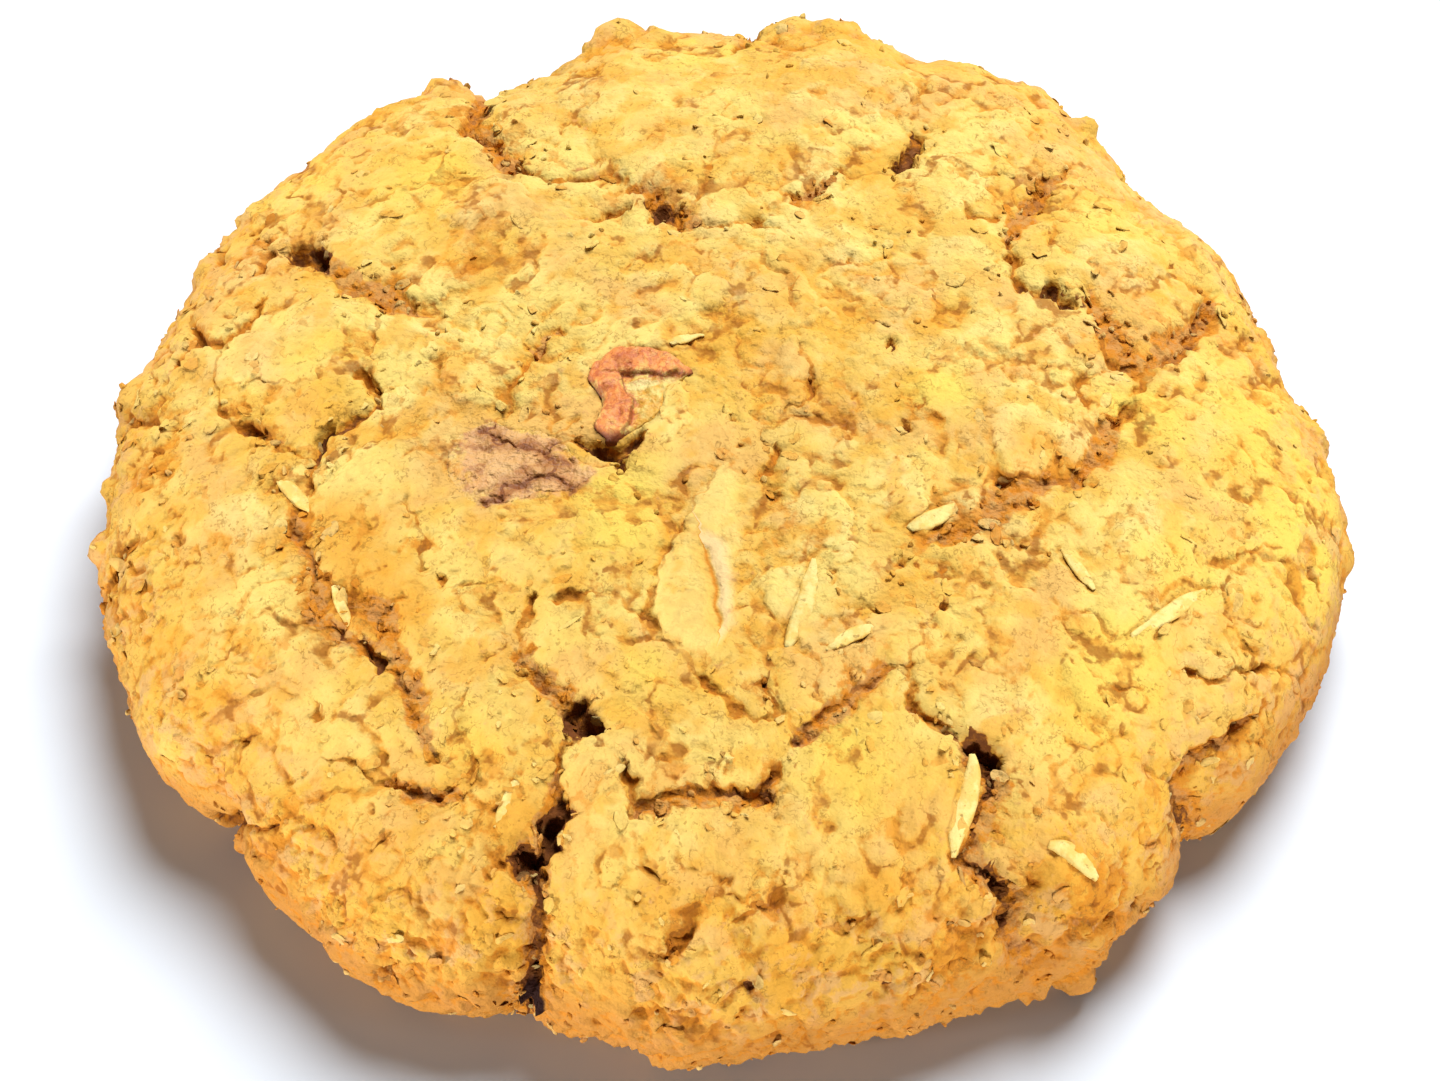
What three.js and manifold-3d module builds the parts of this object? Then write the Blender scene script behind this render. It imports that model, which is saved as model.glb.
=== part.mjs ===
// Cowboy cookie: one thick, cracked drop cookie of oat and coconut dough, with a piece of
// pecan and a piece of melted chocolate that come to its top.
//
// Millimetres, +Z up. The origin is the middle of the underside, on the surface the cookie
// stands on. +X is to the right and -Y towards the front.
//
// The crust is laid out flat, as on a polar map: a place [x, y] on it is reached by leaving
// the crown in the direction of [x, y] and following the surface for the length of [x, y].
// Cracks, the pecan and the chocolate are placed on that map.

import * as THREE from "three";
import { mergeVertices } from "three/addons/utils/BufferGeometryUtils.js";
import Module from "manifold-3d";

const wasm = await Module();
wasm.setup();

// ---------------------------------------------------------------------------------------
// Driving dimensions

const RADIUS = 40; // nominal radius at the girth
const HEIGHT = 19; // underside to crown
const GIRTH_LEVEL = 6; // height of the widest girth
const CROWN_POWER = 2.5; // 2 is an elliptical dome, more is a flatter top with steeper sides
const FOOT_INSET = 4.6; // how far the rim of the underside lies inside the girth

const RING_STEP = 1.43; // distance between the rings of vertices, along the crust
const RINGS_THAT_WIDEN = 27; // rings that each add six vertices; the rest keep their number
const SNAP = 0.42; // vertices this share of a step from a crack's middle slide onto it

const FIT_GAP = 0.3; // free space between the dough and what is set in it

// Bulges and notches of the rim: [direction in degrees, radial size, half width in degrees]
const RIM_TRIM = -0.4;
const RIM_LOBES = [
  [17, -0.9, 8],
  [39, -1.3, 6],
  [58, 1.0, 6],
  [79, 1.1, 7],
  [100, 0.5, 4],
  [112, -2.2, 7],
  [128, 0.5, 9],
  [189, 0.9, 8],
  [206, 0.6, 6],
  [217, -1.4, 4],
  [237, 1.1, 7],
  [254, -0.5, 7],
  [267, 0.7, 5],
  [281, -0.6, 6],
  [305, 1.3, 4],
  [322, -1.2, 5],
  [351, 1.3, 13],
];

// Soft swells all over the crust: waves of falling length and height
const SWELL = { waves: 7, length: 17, height: 0.26, shorter: 0.8, lower: 0.9 };

// Cracks between the plates of the crust: half width, depth, and route on the map
const CRACKS = [
  // back left, from the rim to the pit behind the crown
  { half: 1.7, depth: 3.0, route: [[-19.5, 43], [-17.3, 30], [-15.8, 25], [-13.5, 21.7]] },
  { half: 1.2, depth: 1.5, route: [[-13.5, 21.7], [-8, 22], [-5, 19]] },
  { half: 1.4, depth: 2.6, route: [[-5.2, 18.8], [-2.4, 15.6]] },
  { half: 1.2, depth: 1.3, route: [[-2.4, 15.6], [-0.8, 20], [0.2, 26]] },
  // back right, two slits
  { half: 1.2, depth: 2.2, route: [[13.2, 25.5], [11.8, 21]] },
  { half: 1.25, depth: 2.0, route: [[24, 24.5], [21.3, 19]] },
  // left, a deep pit with a trough running inwards
  { half: 1.6, depth: 2.8, route: [[-28.2, 16], [-26.2, 15]] },
  { half: 1.4, depth: 1.2, route: [[-31.5, 18.5], [-27, 14.5], [-22, 10.3], [-18, 9.4]] },
  // left, round the front of a lifted plate
  { half: 1.2, depth: 1.5, route: [[-37, 15], [-34, 9], [-34, 4.5], [-31.5, 1]] },
  { half: 1.25, depth: 2.2, route: [[-31.5, 1], [-29, -0.9], [-26, -2.6], [-23.4, 0]] },
  { half: 1.2, depth: 1.3, route: [[-23.4, 0], [-22.5, 4], [-21.8, 9.8]] },
  // left, a wide rough trough that curves to the front
  { half: 1.25, depth: 1.2, route: [[-28.2, -4.4], [-26.7, -8.6], [-25.7, -11.8]] },
  { half: 1.9, depth: 2.2, route: [[-25.7, -11.8], [-25.1, -15.4], [-22.3, -19]] },
  { half: 1.25, depth: 1.2, route: [[-22.3, -19], [-19.7, -21.8], [-18.5, -24.4]] },
  // front left, down over the side to the underside
  { half: 1.2, depth: 1.6, route: [[-11.5, -14.9], [-12.2, -18.8], [-9.6, -21.6]] },
  { half: 1.4, depth: 2.8, route: [[-9.6, -21.6], [-8.5, -24.2]] },
  { half: 1.2, depth: 1.5, route: [[-8.5, -24.2], [-10.3, -26.5], [-10.2, -30]] },
  { half: 1.5, depth: 3.4, route: [[-10.2, -30], [-11.9, -33.6]] },
  { half: 1.3, depth: 2.2, route: [[-11.9, -33.6], [-12, -38], [-13.2, -42], [-16, -48]] },
  { half: 1.2, depth: 1.3, route: [[-24.6, -24.6], [-20.4, -26.4], [-16.6, -27]] },
  // front, round the front of the middle plate
  { half: 1.25, depth: 2.4, route: [[4.5, -26.4], [2.4, -28.9], [-1, -28.3], [-5, -30]] },
  { half: 1.3, depth: 2.3, route: [[11.6, -18.2], [8.2, -22.2], [5, -25.7]] },
  { half: 1.2, depth: 1.2, route: [[4.8, -24.6], [0.4, -21.6], [-4.7, -16.8], [-4, -12.4]] },
  { half: 1.2, depth: 0.9, route: [[-4, -12.4], [-1.6, -7.2], [0, -4.6]] },
  // front right, down over the side
  { half: 1.25, depth: 1.4, route: [[11.6, -18.2], [12.2, -22.2], [15.4, -24.8]] },
  { half: 1.3, depth: 3.2, route: [[15.8, -23.6], [16.8, -28.2], [16.3, -32.6]] },
  { half: 1.2, depth: 2.8, route: [[16.3, -32.6], [18.6, -33.6], [19.3, -36.4], [22, -41]] },
  // right, under the edge of the top, and from the back right basin to the middle
  { half: 1.2, depth: 2.2, route: [[37.4, -18], [34.4, -22.3], [31, -27], [35, -29.5], [44, -30.5]] },
  { half: 1.2, depth: 1.7, route: [[20, 16.6], [19.8, 10.8], [24, 9.9]] },
  { half: 2.3, depth: 1.6, route: [[26.4, 8.6], [28.8, 6.6], [31.3, 9.2], [33.3, 12.8]] },
  { half: 1.3, depth: 1.6, route: [[28.4, 4.8], [25.2, 0.6], [23.6, -3.2], [19.6, -6]] },
  { half: 1.5, depth: 1.0, route: [[19.6, -6], [14.6, -9.6], [9.4, -12]] },
  // the gap at the left of the rim, and its end on the top
  { half: 1.3, depth: 2.6, route: [[-50, -30], [-36, -28.4], [-32, -28], [-27, -28.8]] },
  // side cracks at the back
  { half: 1.2, depth: 2.0, route: [[3, 34], [5.5, 40], [4.5, 49]] },
  { half: 1.3, depth: 1.8, route: [[30, 28], [35.5, 33], [37, 37]] },
  { half: 1.2, depth: 2.0, route: [[43, 14], [46.5, 16.5], [50, 17]] },
  { half: 1.2, depth: 2.0, route: [[-36, 26], [-39, 30], [-41, 32]] },
  // a short crease in the left side
  { half: 1.2, depth: 1.0, route: [[-42, 4.5], [-38.5, 4.2], [-36.5, 3.4]] },
];

// Dough raised at one side of a crack, as where a plate was lifted: centre, radius, height
const LIFTED_PLATES = [
  { at: [-28, 4.5], radius: 7, height: 0.9 },
  { at: [-1, -24.5], radius: 7.5, height: 0.9 },
  { at: [30, 14], radius: 6, height: 0.6 },
  { at: [8, -30], radius: 8, height: 0.4 },
  { at: [-9, -18], radius: 5, height: 0.5 },
  { at: [24, -20], radius: 9, height: 0.5 },
];

// The pecan piece is a curled lobe: route of its middle on the map, and its radius
const PECAN = {
  route: [[-2, 2.4], [-4.2, 3.7], [-6.4, 3.8], [-7.8, 2.5], [-7.3, 0.4], [-6.5, -1.6]],
  radius: 1.4,
  rise: -0.3, // height of its middle over the crust
  rings: 15,
  sides: 11,
};

// The chocolate lies in a hollow of the crust: centre on the map, mean radius and lobes
const CHOCOLATE = {
  at: [-12.1, -4.3],
  radius: 3.9,
  lobes: [[20, 1.1, 30], [150, 0.9, 35], [235, 0.9, 30], [300, -0.7, 35]],
  depth: 1.5,
  sunk: 0.25, // how far its face lies under the crust
  rings: 4,
  sides: 26,
};

// ---------------------------------------------------------------------------------------
// Form of the crust

// A smooth swelling of half width `width` about `centre`, for angles in degrees
function lobe(angle, centre, width) {
  const away = ((((angle - centre) % 360) + 540) % 360) - 180;
  return Math.exp(-((away / width) ** 2));
}

function rimRadius(angle) {
  return RIM_LOBES.reduce(
    (sum, [centre, size, width]) => sum + size * lobe(angle, centre, width),
    RADIUS + RIM_TRIM,
  );
}

// Half section of the cookie: crown to girth as a superellipse, girth to foot as an ellipse
const CROWN_STEPS = 300;
const FOOT_STEPS = 60;
function halfSection() {
  const points = [];
  for (let i = 0; i <= CROWN_STEPS; i++) {
    const a = (Math.PI / 2) * (1 - i / CROWN_STEPS);
    points.push({
      radius: RADIUS * Math.cos(a) ** (2 / CROWN_POWER),
      level: GIRTH_LEVEL + (HEIGHT - GIRTH_LEVEL) * Math.sin(a) ** (2 / CROWN_POWER),
    });
  }
  for (let i = 1; i <= FOOT_STEPS; i++) {
    const a = (Math.PI / 2) * (i / FOOT_STEPS);
    points.push({
      radius: RADIUS - FOOT_INSET * (1 - Math.cos(a)),
      level: GIRTH_LEVEL * (1 - Math.sin(a)),
    });
  }
  points[0].reach = 0;
  for (let i = 1; i < points.length; i++) {
    const step = Math.hypot(
      points[i].radius - points[i - 1].radius,
      points[i].level - points[i - 1].level,
    );
    points[i].reach = points[i - 1].reach + step;
  }
  return points;
}
const SECTION = halfSection();
const FOOT_REACH = SECTION.at(-1).reach; // crown to foot, along the crust

function sectionAt(reach) {
  const last = SECTION.findIndex((p) => p.reach >= reach);
  if (last <= 0) return last === 0 ? SECTION[0] : SECTION.at(-1);
  const [a, b] = [SECTION[last - 1], SECTION[last]];
  const t = (reach - a.reach) / (b.reach - a.reach);
  return {
    radius: a.radius + t * (b.radius - a.radius),
    level: a.level + t * (b.level - a.level),
  };
}

// The smooth crust under a place on the map, with no swells or cracks
function smoothCrust([x, y]) {
  const angle = Math.atan2(y, x);
  const { radius, level } = sectionAt(Math.hypot(x, y));
  const r = (radius * rimRadius(THREE.MathUtils.radToDeg(angle))) / RADIUS;
  return new THREE.Vector3(r * Math.cos(angle), r * Math.sin(angle), level);
}

const PROBE = 0.4; // distance over which the crust's slope is taken
function crustNormal([x, y]) {
  const across = smoothCrust([x + PROBE, y]).sub(smoothCrust([x - PROBE, y]));
  const along = smoothCrust([x, y + PROBE]).sub(smoothCrust([x, y - PROBE]));
  return across.cross(along).normalize();
}

// ---------------------------------------------------------------------------------------
// Swells and cracks, as heights over the smooth crust

const GOLDEN_ANGLE = Math.PI * (3 - Math.sqrt(5));

function swell([x, y]) {
  let height = 0;
  for (let i = 0; i < SWELL.waves; i++) {
    const along = x * Math.cos(i * GOLDEN_ANGLE) + y * Math.sin(i * GOLDEN_ANGLE);
    const length = SWELL.length * SWELL.shorter ** i;
    height += SWELL.height * SWELL.lower ** i * Math.sin((2 * Math.PI * along) / length + 1.7 * i);
  }
  return height;
}

// The nearest point of a route, and how far away it is
function nearestOnRoute([x, y], route) {
  let best = { distance: Infinity };
  for (let i = 1; i < route.length; i++) {
    const [ax, ay] = route[i - 1];
    const [dx, dy] = [route[i][0] - ax, route[i][1] - ay];
    const share = THREE.MathUtils.clamp(
      ((x - ax) * dx + (y - ay) * dy) / (dx * dx + dy * dy),
      0,
      1,
    );
    const point = [ax + share * dx, ay + share * dy];
    const distance = Math.hypot(x - point[0], y - point[1]);
    if (distance < best.distance) best = { distance, point };
  }
  return best;
}

function crackDepth(place) {
  let depth = 0;
  for (const crack of CRACKS) {
    const { distance } = nearestOnRoute(place, crack.route);
    depth = Math.max(depth, crack.depth * (1 - distance / crack.half));
  }
  return depth;
}

function plateLift([x, y]) {
  return LIFTED_PLATES.reduce((sum, { at, radius, height }) => {
    const away = Math.hypot(x - at[0], y - at[1]) / radius;
    return sum + height * Math.exp(-(away ** 4));
  }, 0);
}

// Relief ends over the last millimetres, so that the underside stays round and flat
const RELIEF_ENDS = 4;
function crustRelief(place) {
  const left = FOOT_REACH - Math.hypot(...place);
  const kept = THREE.MathUtils.smoothstep(left, 0, RELIEF_ENDS);
  return kept * (swell(place) + plateLift(place) - crackDepth(place));
}

function crustPoint(place, over = 0) {
  const normal = crustNormal(place);
  return smoothCrust(place).addScaledVector(normal, crustRelief(place) + over);
}

// ---------------------------------------------------------------------------------------
// Meshes made of rings

// Joins rings of vertices, each a list of indices all the way round, into triangles
function zip(inner, outer, triangles) {
  let [i, o] = [0, 0];
  while (i < inner.length || o < outer.length) {
    const a = inner[i % inner.length];
    const b = outer[o % outer.length];
    const stepOut = (o + 1) / outer.length <= (i + 1) / inner.length;
    if (o < outer.length && (stepOut || i >= inner.length)) {
      triangles.push(a, b, outer[(o + 1) % outer.length]);
      o++;
    } else {
      triangles.push(a, b, inner[(i + 1) % inner.length]);
      i++;
    }
  }
}

function fan(centre, ring, triangles) {
  ring.forEach((a, i) => triangles.push(centre, a, ring[(i + 1) % ring.length]));
}

function ringOf(count, radius, turn = 0) {
  return Array.from({ length: count }, (_, i) => {
    const a = (2 * Math.PI * (i + turn)) / count;
    return [radius * Math.cos(a), radius * Math.sin(a)];
  });
}

function geometryOf(points, triangles) {
  const geometry = new THREE.BufferGeometry().setFromPoints(points);
  geometry.setIndex(triangles);
  geometry.computeVertexNormals();
  return geometry;
}

// Slides a place that lies close to a crack's middle onto it, so that the groove is sharp
function snapToCracks(place) {
  for (const { route } of CRACKS) {
    const { distance, point } = nearestOnRoute(place, route);
    if (distance < SNAP * RING_STEP && Math.hypot(...point) < FOOT_REACH - RELIEF_ENDS) return point;
  }
  return place;
}

function doughGeometry() {
  const points = [crustPoint([0, 0])];
  const triangles = [];
  const rings = Math.round(FOOT_REACH / RING_STEP);
  let inner = null;
  for (let k = 1; k <= rings; k++) {
    const count = 6 * Math.min(k, RINGS_THAT_WIDEN);
    const outer = ringOf(count, (FOOT_REACH * k) / rings).map((place) => {
      points.push(k < rings ? crustPoint(snapToCracks(place)) : smoothCrust(place));
      return points.length - 1;
    });
    if (inner) zip(inner, outer, triangles);
    else fan(0, outer, triangles);
    inner = outer;
  }
  // the flat underside, down to a three-sided middle that holds the origin
  for (const [count, radius] of [[36, 24], [12, 10], [3, 4]]) {
    const ring = ringOf(count, radius, 0.5).map(([x, y]) => {
      points.push(new THREE.Vector3(x, y, 0));
      return points.length - 1;
    });
    zip(inner, ring, triangles);
    inner = ring;
  }
  triangles.push(...inner.reverse());
  return geometryOf(points, triangles);
}

// A round body swept along a route on the crust, thin at both ends
function sweptGeometry({ route, radius, rise, rings, sides }, grown = 0) {
  const line = new THREE.CatmullRomCurve3(route.map(([x, y]) => new THREE.Vector3(x, y, 0)));
  const [points, triangles] = [[], []];
  const section = (share, size) => {
    const { x, y } = line.getPointAt(share);
    const out = crustNormal([x, y]);
    const ahead = line.getTangentAt(share);
    const side = new THREE.Vector3().crossVectors(ahead, out).normalize();
    const middle = smoothCrust([x, y]).addScaledVector(out, swell([x, y]) + rise);
    return ringOf(sides, size).map(([u, v]) => {
      points.push(middle.clone().addScaledVector(side, u).addScaledVector(out, v));
      return points.length - 1;
    });
  };
  let last = null;
  for (let i = 0; i <= rings; i++) {
    const share = i / rings;
    const bulge = (1 - Math.abs(2 * share - 1) ** 5) ** 0.5;
    const ring = section(share, grown + radius * (0.35 + 0.65 * bulge));
    if (last) zip(last, ring, triangles);
    else triangles.push(...ring.slice(1, -1).flatMap((b, j) => [ring[0], b, ring[j + 2]]));
    last = ring;
  }
  triangles.push(...last.slice(1, -1).flatMap((b, j) => [last[0], last[j + 2], b]));
  return geometryOf(points, triangles);
}

// A pad that follows the crust: its face lies `over` the crust and its back `depth` below that
function padGeometry({ at, radius, lobes, depth, rings, sides }, over, grown = 0) {
  const [points, triangles] = [[], []];
  const edge = (angle) =>
    grown + lobes.reduce((sum, [c, size, w]) => sum + size * lobe(angle, c, w), radius);
  const add = (u, v, lift) => {
    const place = [at[0] + u, at[1] + v];
    points.push(smoothCrust(place).addScaledVector(crustNormal(place), swell(place) + lift));
    return points.length - 1;
  };
  const layer = (lift) => {
    const made = [[add(0, 0, lift)]];
    for (let k = 1; k <= rings; k++) {
      const ring = ringOf(sides, k / rings).map(([u, v]) => {
        const reach = edge(THREE.MathUtils.radToDeg(Math.atan2(v, u)));
        return add(u * reach, v * reach, lift);
      });
      made.push(ring);
    }
    return made;
  };
  const face = layer(over);
  const back = layer(over - depth);
  for (let k = 1; k <= rings; k++) {
    if (k === 1) fan(face[0][0], face[1], triangles);
    else zip(face[k - 1], face[k], triangles);
  }
  zip(face[rings], back[rings], triangles);
  for (let k = rings; k > 1; k--) zip(back[k], back[k - 1], triangles);
  back[1].forEach((a, i) => triangles.push(back[0][0], back[1][(i + 1) % sides], a));
  return geometryOf(points, triangles);
}

// ---------------------------------------------------------------------------------------
// Cutting the hollows

function solidOf(geometry) {
  const bare = geometry.clone();
  bare.deleteAttribute("normal");
  const merged = mergeVertices(bare, 1e-4);
  return new wasm.Manifold(
    new wasm.Mesh({
      numProp: 3,
      vertProperties: merged.attributes.position.array,
      triVerts: new Uint32Array(merged.index.array),
    }),
  );
}

function geometryFrom(solid) {
  const mesh = solid.getMesh();
  const geometry = new THREE.BufferGeometry();
  geometry.setAttribute("position", new THREE.BufferAttribute(mesh.vertProperties, 3));
  geometry.setIndex(new THREE.BufferAttribute(mesh.triVerts, 1));
  geometry.computeVertexNormals();
  return geometry;
}

// ---------------------------------------------------------------------------------------
// The cookie

function piece(name, geometry, color, roughness) {
  const material = new THREE.MeshStandardMaterial({ color, roughness, metalness: 0 });
  const mesh = new THREE.Mesh(geometry, material);
  mesh.name = name;
  return mesh;
}

const pecan = sweptGeometry(PECAN);
const chocolate = padGeometry(CHOCOLATE, -CHOCOLATE.sunk);

const pecanHollow = sweptGeometry(PECAN, FIT_GAP);
const HOLLOW_TOP = 4; // the hollow's cutter stands this far out of the crust
const chocolateHollow = padGeometry(
  { ...CHOCOLATE, depth: CHOCOLATE.depth + FIT_GAP + HOLLOW_TOP },
  HOLLOW_TOP - CHOCOLATE.sunk,
  FIT_GAP,
);
const dough = solidOf(doughGeometry())
  .subtract(solidOf(pecanHollow))
  .subtract(solidOf(chocolateHollow));

const cookie = new THREE.Group();
cookie.add(
  piece("dough", geometryFrom(dough), 0xe3b05c, 0.85),
  piece("pecan_piece", pecan, 0xc4683c, 0.6),
  piece("chocolate_piece", chocolate, 0x7a4a36, 0.6),
);

export default cookie;
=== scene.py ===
"""A cowboy cookie, dressed around its solids: cracked golden crust, oats, pecan and chocolate."""

import math
from itertools import product

import bpy
import numpy as np
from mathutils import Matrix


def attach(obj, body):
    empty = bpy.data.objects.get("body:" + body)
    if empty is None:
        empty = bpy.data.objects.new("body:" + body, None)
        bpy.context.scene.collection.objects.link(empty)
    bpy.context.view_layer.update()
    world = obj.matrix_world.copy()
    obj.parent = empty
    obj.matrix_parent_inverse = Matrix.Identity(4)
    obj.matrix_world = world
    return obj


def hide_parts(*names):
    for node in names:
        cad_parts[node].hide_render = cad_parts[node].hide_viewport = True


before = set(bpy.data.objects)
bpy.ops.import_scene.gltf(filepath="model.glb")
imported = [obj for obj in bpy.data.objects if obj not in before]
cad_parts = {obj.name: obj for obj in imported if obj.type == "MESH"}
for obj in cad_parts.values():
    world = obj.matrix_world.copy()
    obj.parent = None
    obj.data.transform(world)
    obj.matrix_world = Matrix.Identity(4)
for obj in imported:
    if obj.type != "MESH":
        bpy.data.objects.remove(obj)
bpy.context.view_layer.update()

# ----------------------------------------------------------------------------------------------
# THE CRUST
# One scoop of stiff oat dough, baked into a thick round with steep sides and a flat foot. As it
# rose, its skin broke into plates. Whole rolled oats lie in the skin, some with an edge lifted.

MM = 0.001

# All sizes and places are in mm. Places are on a flat map of the crust: (x, y) is reached by
# leaving the crown towards (x, y) and following the surface for the length of (x, y).
RADIUS = 40.0  # nominal, at the girth
HEIGHT = 19.0
GIRTH_LEVEL = 6.0
CROWN_POWER = 2.5  # 2 is an elliptical dome, more is flatter on top and steeper at the side
FOOT_INSET = 4.6
CROWN_STEPS = 400  # of the half outline, from the crown to the girth
FOOT_STEPS = 80  # and on from the girth to the foot

# Bulges and notches of the rim: direction in degrees, radial size in mm, half width in degrees
RIM_TRIM = -0.4
RIM_LOBES = [
    (17, -0.9, 8), (39, -1.3, 6), (58, 1.0, 6), (79, 1.1, 7), (100, 0.5, 4), (112, -2.2, 7),
    (128, 0.5, 9), (189, 0.9, 8), (206, 0.6, 6), (217, -1.4, 4), (237, 1.1, 7), (254, -0.5, 7),
    (267, 0.7, 5), (281, -0.6, 6), (305, 1.3, 4), (322, -1.2, 5), (351, 1.3, 13),
]  # fmt: skip


def half_section():
    """Half outline of the cookie, crown to foot: distance along it, radius and level."""
    turn = np.linspace(math.pi / 2, 0, CROWN_STEPS)
    radius = RADIUS * np.cos(turn) ** (2 / CROWN_POWER)
    level = GIRTH_LEVEL + (HEIGHT - GIRTH_LEVEL) * np.sin(turn) ** (2 / CROWN_POWER)
    under = np.linspace(0, math.pi / 2, FOOT_STEPS)[1:]
    radius = np.append(radius, RADIUS - FOOT_INSET * (1 - np.cos(under)))
    level = np.append(level, GIRTH_LEVEL * (1 - np.sin(under)))
    reach = np.append(0, np.cumsum(np.hypot(np.diff(radius), np.diff(level))))
    return reach, radius, level


SECTION_REACH, SECTION_RADIUS, SECTION_LEVEL = half_section()
FOOT_REACH = SECTION_REACH[-1]


def away_from(place, x=0.0, y=0.0):
    """Distance in mm on the map of each place from one spot, or else from the crown."""
    return np.hypot(place[:, 0] - x, place[:, 1] - y)


def smooth_crust(place):
    """Points in mm of the crust without any relief, for an (n, 2) array of places."""
    angle = np.arctan2(place[:, 1], place[:, 0])
    reach = away_from(place)
    rim = np.full(len(place), 1 + RIM_TRIM / RADIUS)
    for centre, size, width in RIM_LOBES:
        away = (np.degrees(angle) - centre + 180) % 360 - 180
        rim += size / RADIUS * np.exp(-((away / width) ** 2))
    radius = np.interp(reach, SECTION_REACH, SECTION_RADIUS) * rim
    level = np.interp(reach, SECTION_REACH, SECTION_LEVEL)
    return np.stack([radius * np.cos(angle), radius * np.sin(angle), level], axis=1)


def crust_normal(place, probe=0.4):
    """Outward directions of the smooth crust at the places."""
    right, ahead = np.array([probe, 0]), np.array([0, probe])
    across = smooth_crust(place + right) - smooth_crust(place - right)
    along = smooth_crust(place + ahead) - smooth_crust(place - ahead)
    normal = np.cross(across, along)
    return normal / np.linalg.norm(normal, axis=1, keepdims=True)


def cell_random(cell, seed, count):
    """Numbers from 0 to 1 for each lattice cell, the same at every run."""
    cell = cell.astype(np.uint64)
    mixed = cell[:, 0] * np.uint64(73856093) ^ cell[:, 1] * np.uint64(19349663)
    mixed ^= cell[:, 2] * np.uint64(83492791) ^ np.uint64(seed * 7919 + 17)
    low = np.uint64(0xFFFFFFFF)
    numbers = []
    for _ in range(count):
        mixed = ((mixed ^ (mixed >> np.uint64(15))) * np.uint64(2246822519)) & low
        mixed = ((mixed ^ (mixed >> np.uint64(13))) * np.uint64(3266489917)) & low
        mixed = mixed ^ (mixed >> np.uint64(16))
        numbers.append(mixed / 2.0**32)
        mixed = mixed + np.uint64(0x9E3779B9)
    return np.stack(numbers, axis=1)


def swells(point, size, seed, octaves=1):
    """Smooth noise, about -1 to 1, in lumps of the given size in mm; each octave halves them."""
    total = np.zeros(len(point))
    for octave in range(octaves):
        scaled = point / (size / 2**octave) + 31.7 * (seed + octave)
        cell = np.floor(scaled)
        inside = scaled - cell
        ease = inside**3 * (inside * (inside * 6 - 15) + 10)
        for corner in product((0, 1), repeat=3):
            slope = cell_random((cell + corner).astype(np.int64), seed + octave, 3) * 2 - 1
            weight = np.prod(np.where(corner, ease, 1 - ease), axis=1)
            total += weight * np.sum((inside - corner) * slope, axis=1) / 2**octave
    return total * 1.5


def crumb_cells(point, size, seed):
    """Distances, in shares of the size, to the nearest and the next of scattered crumb centres."""
    scaled = point / size + 11.3 * seed
    cell = np.floor(scaled)
    nearest = np.full(len(point), 9.0)
    second = np.full(len(point), 9.0)
    for step in product((-1, 0, 1), repeat=3):
        other = cell + step
        centre = other + cell_random(other.astype(np.int64), seed, 3)
        away = np.linalg.norm(scaled - centre, axis=1)
        second = np.minimum(second, np.maximum(nearest, away))
        nearest = np.minimum(nearest, away)
    return nearest, second


def creases(point, size, seed):
    """Distance in mm to the nearest wandering crease between lumps of dough of the given size."""
    shift = [0.28 * size * swells(point, 0.5 * size, seed + k, 2) for k in (1, 4, 7)]
    nearest, second = crumb_cells(point + np.stack(shift, axis=1), size, seed)
    return (second - nearest) * size / 2


def ramp(value, start, end):
    """0 before start, 1 after end, eased between."""
    share = np.clip((value - start) / (end - start), 0, 1)
    return share * share * (3 - 2 * share)


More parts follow.
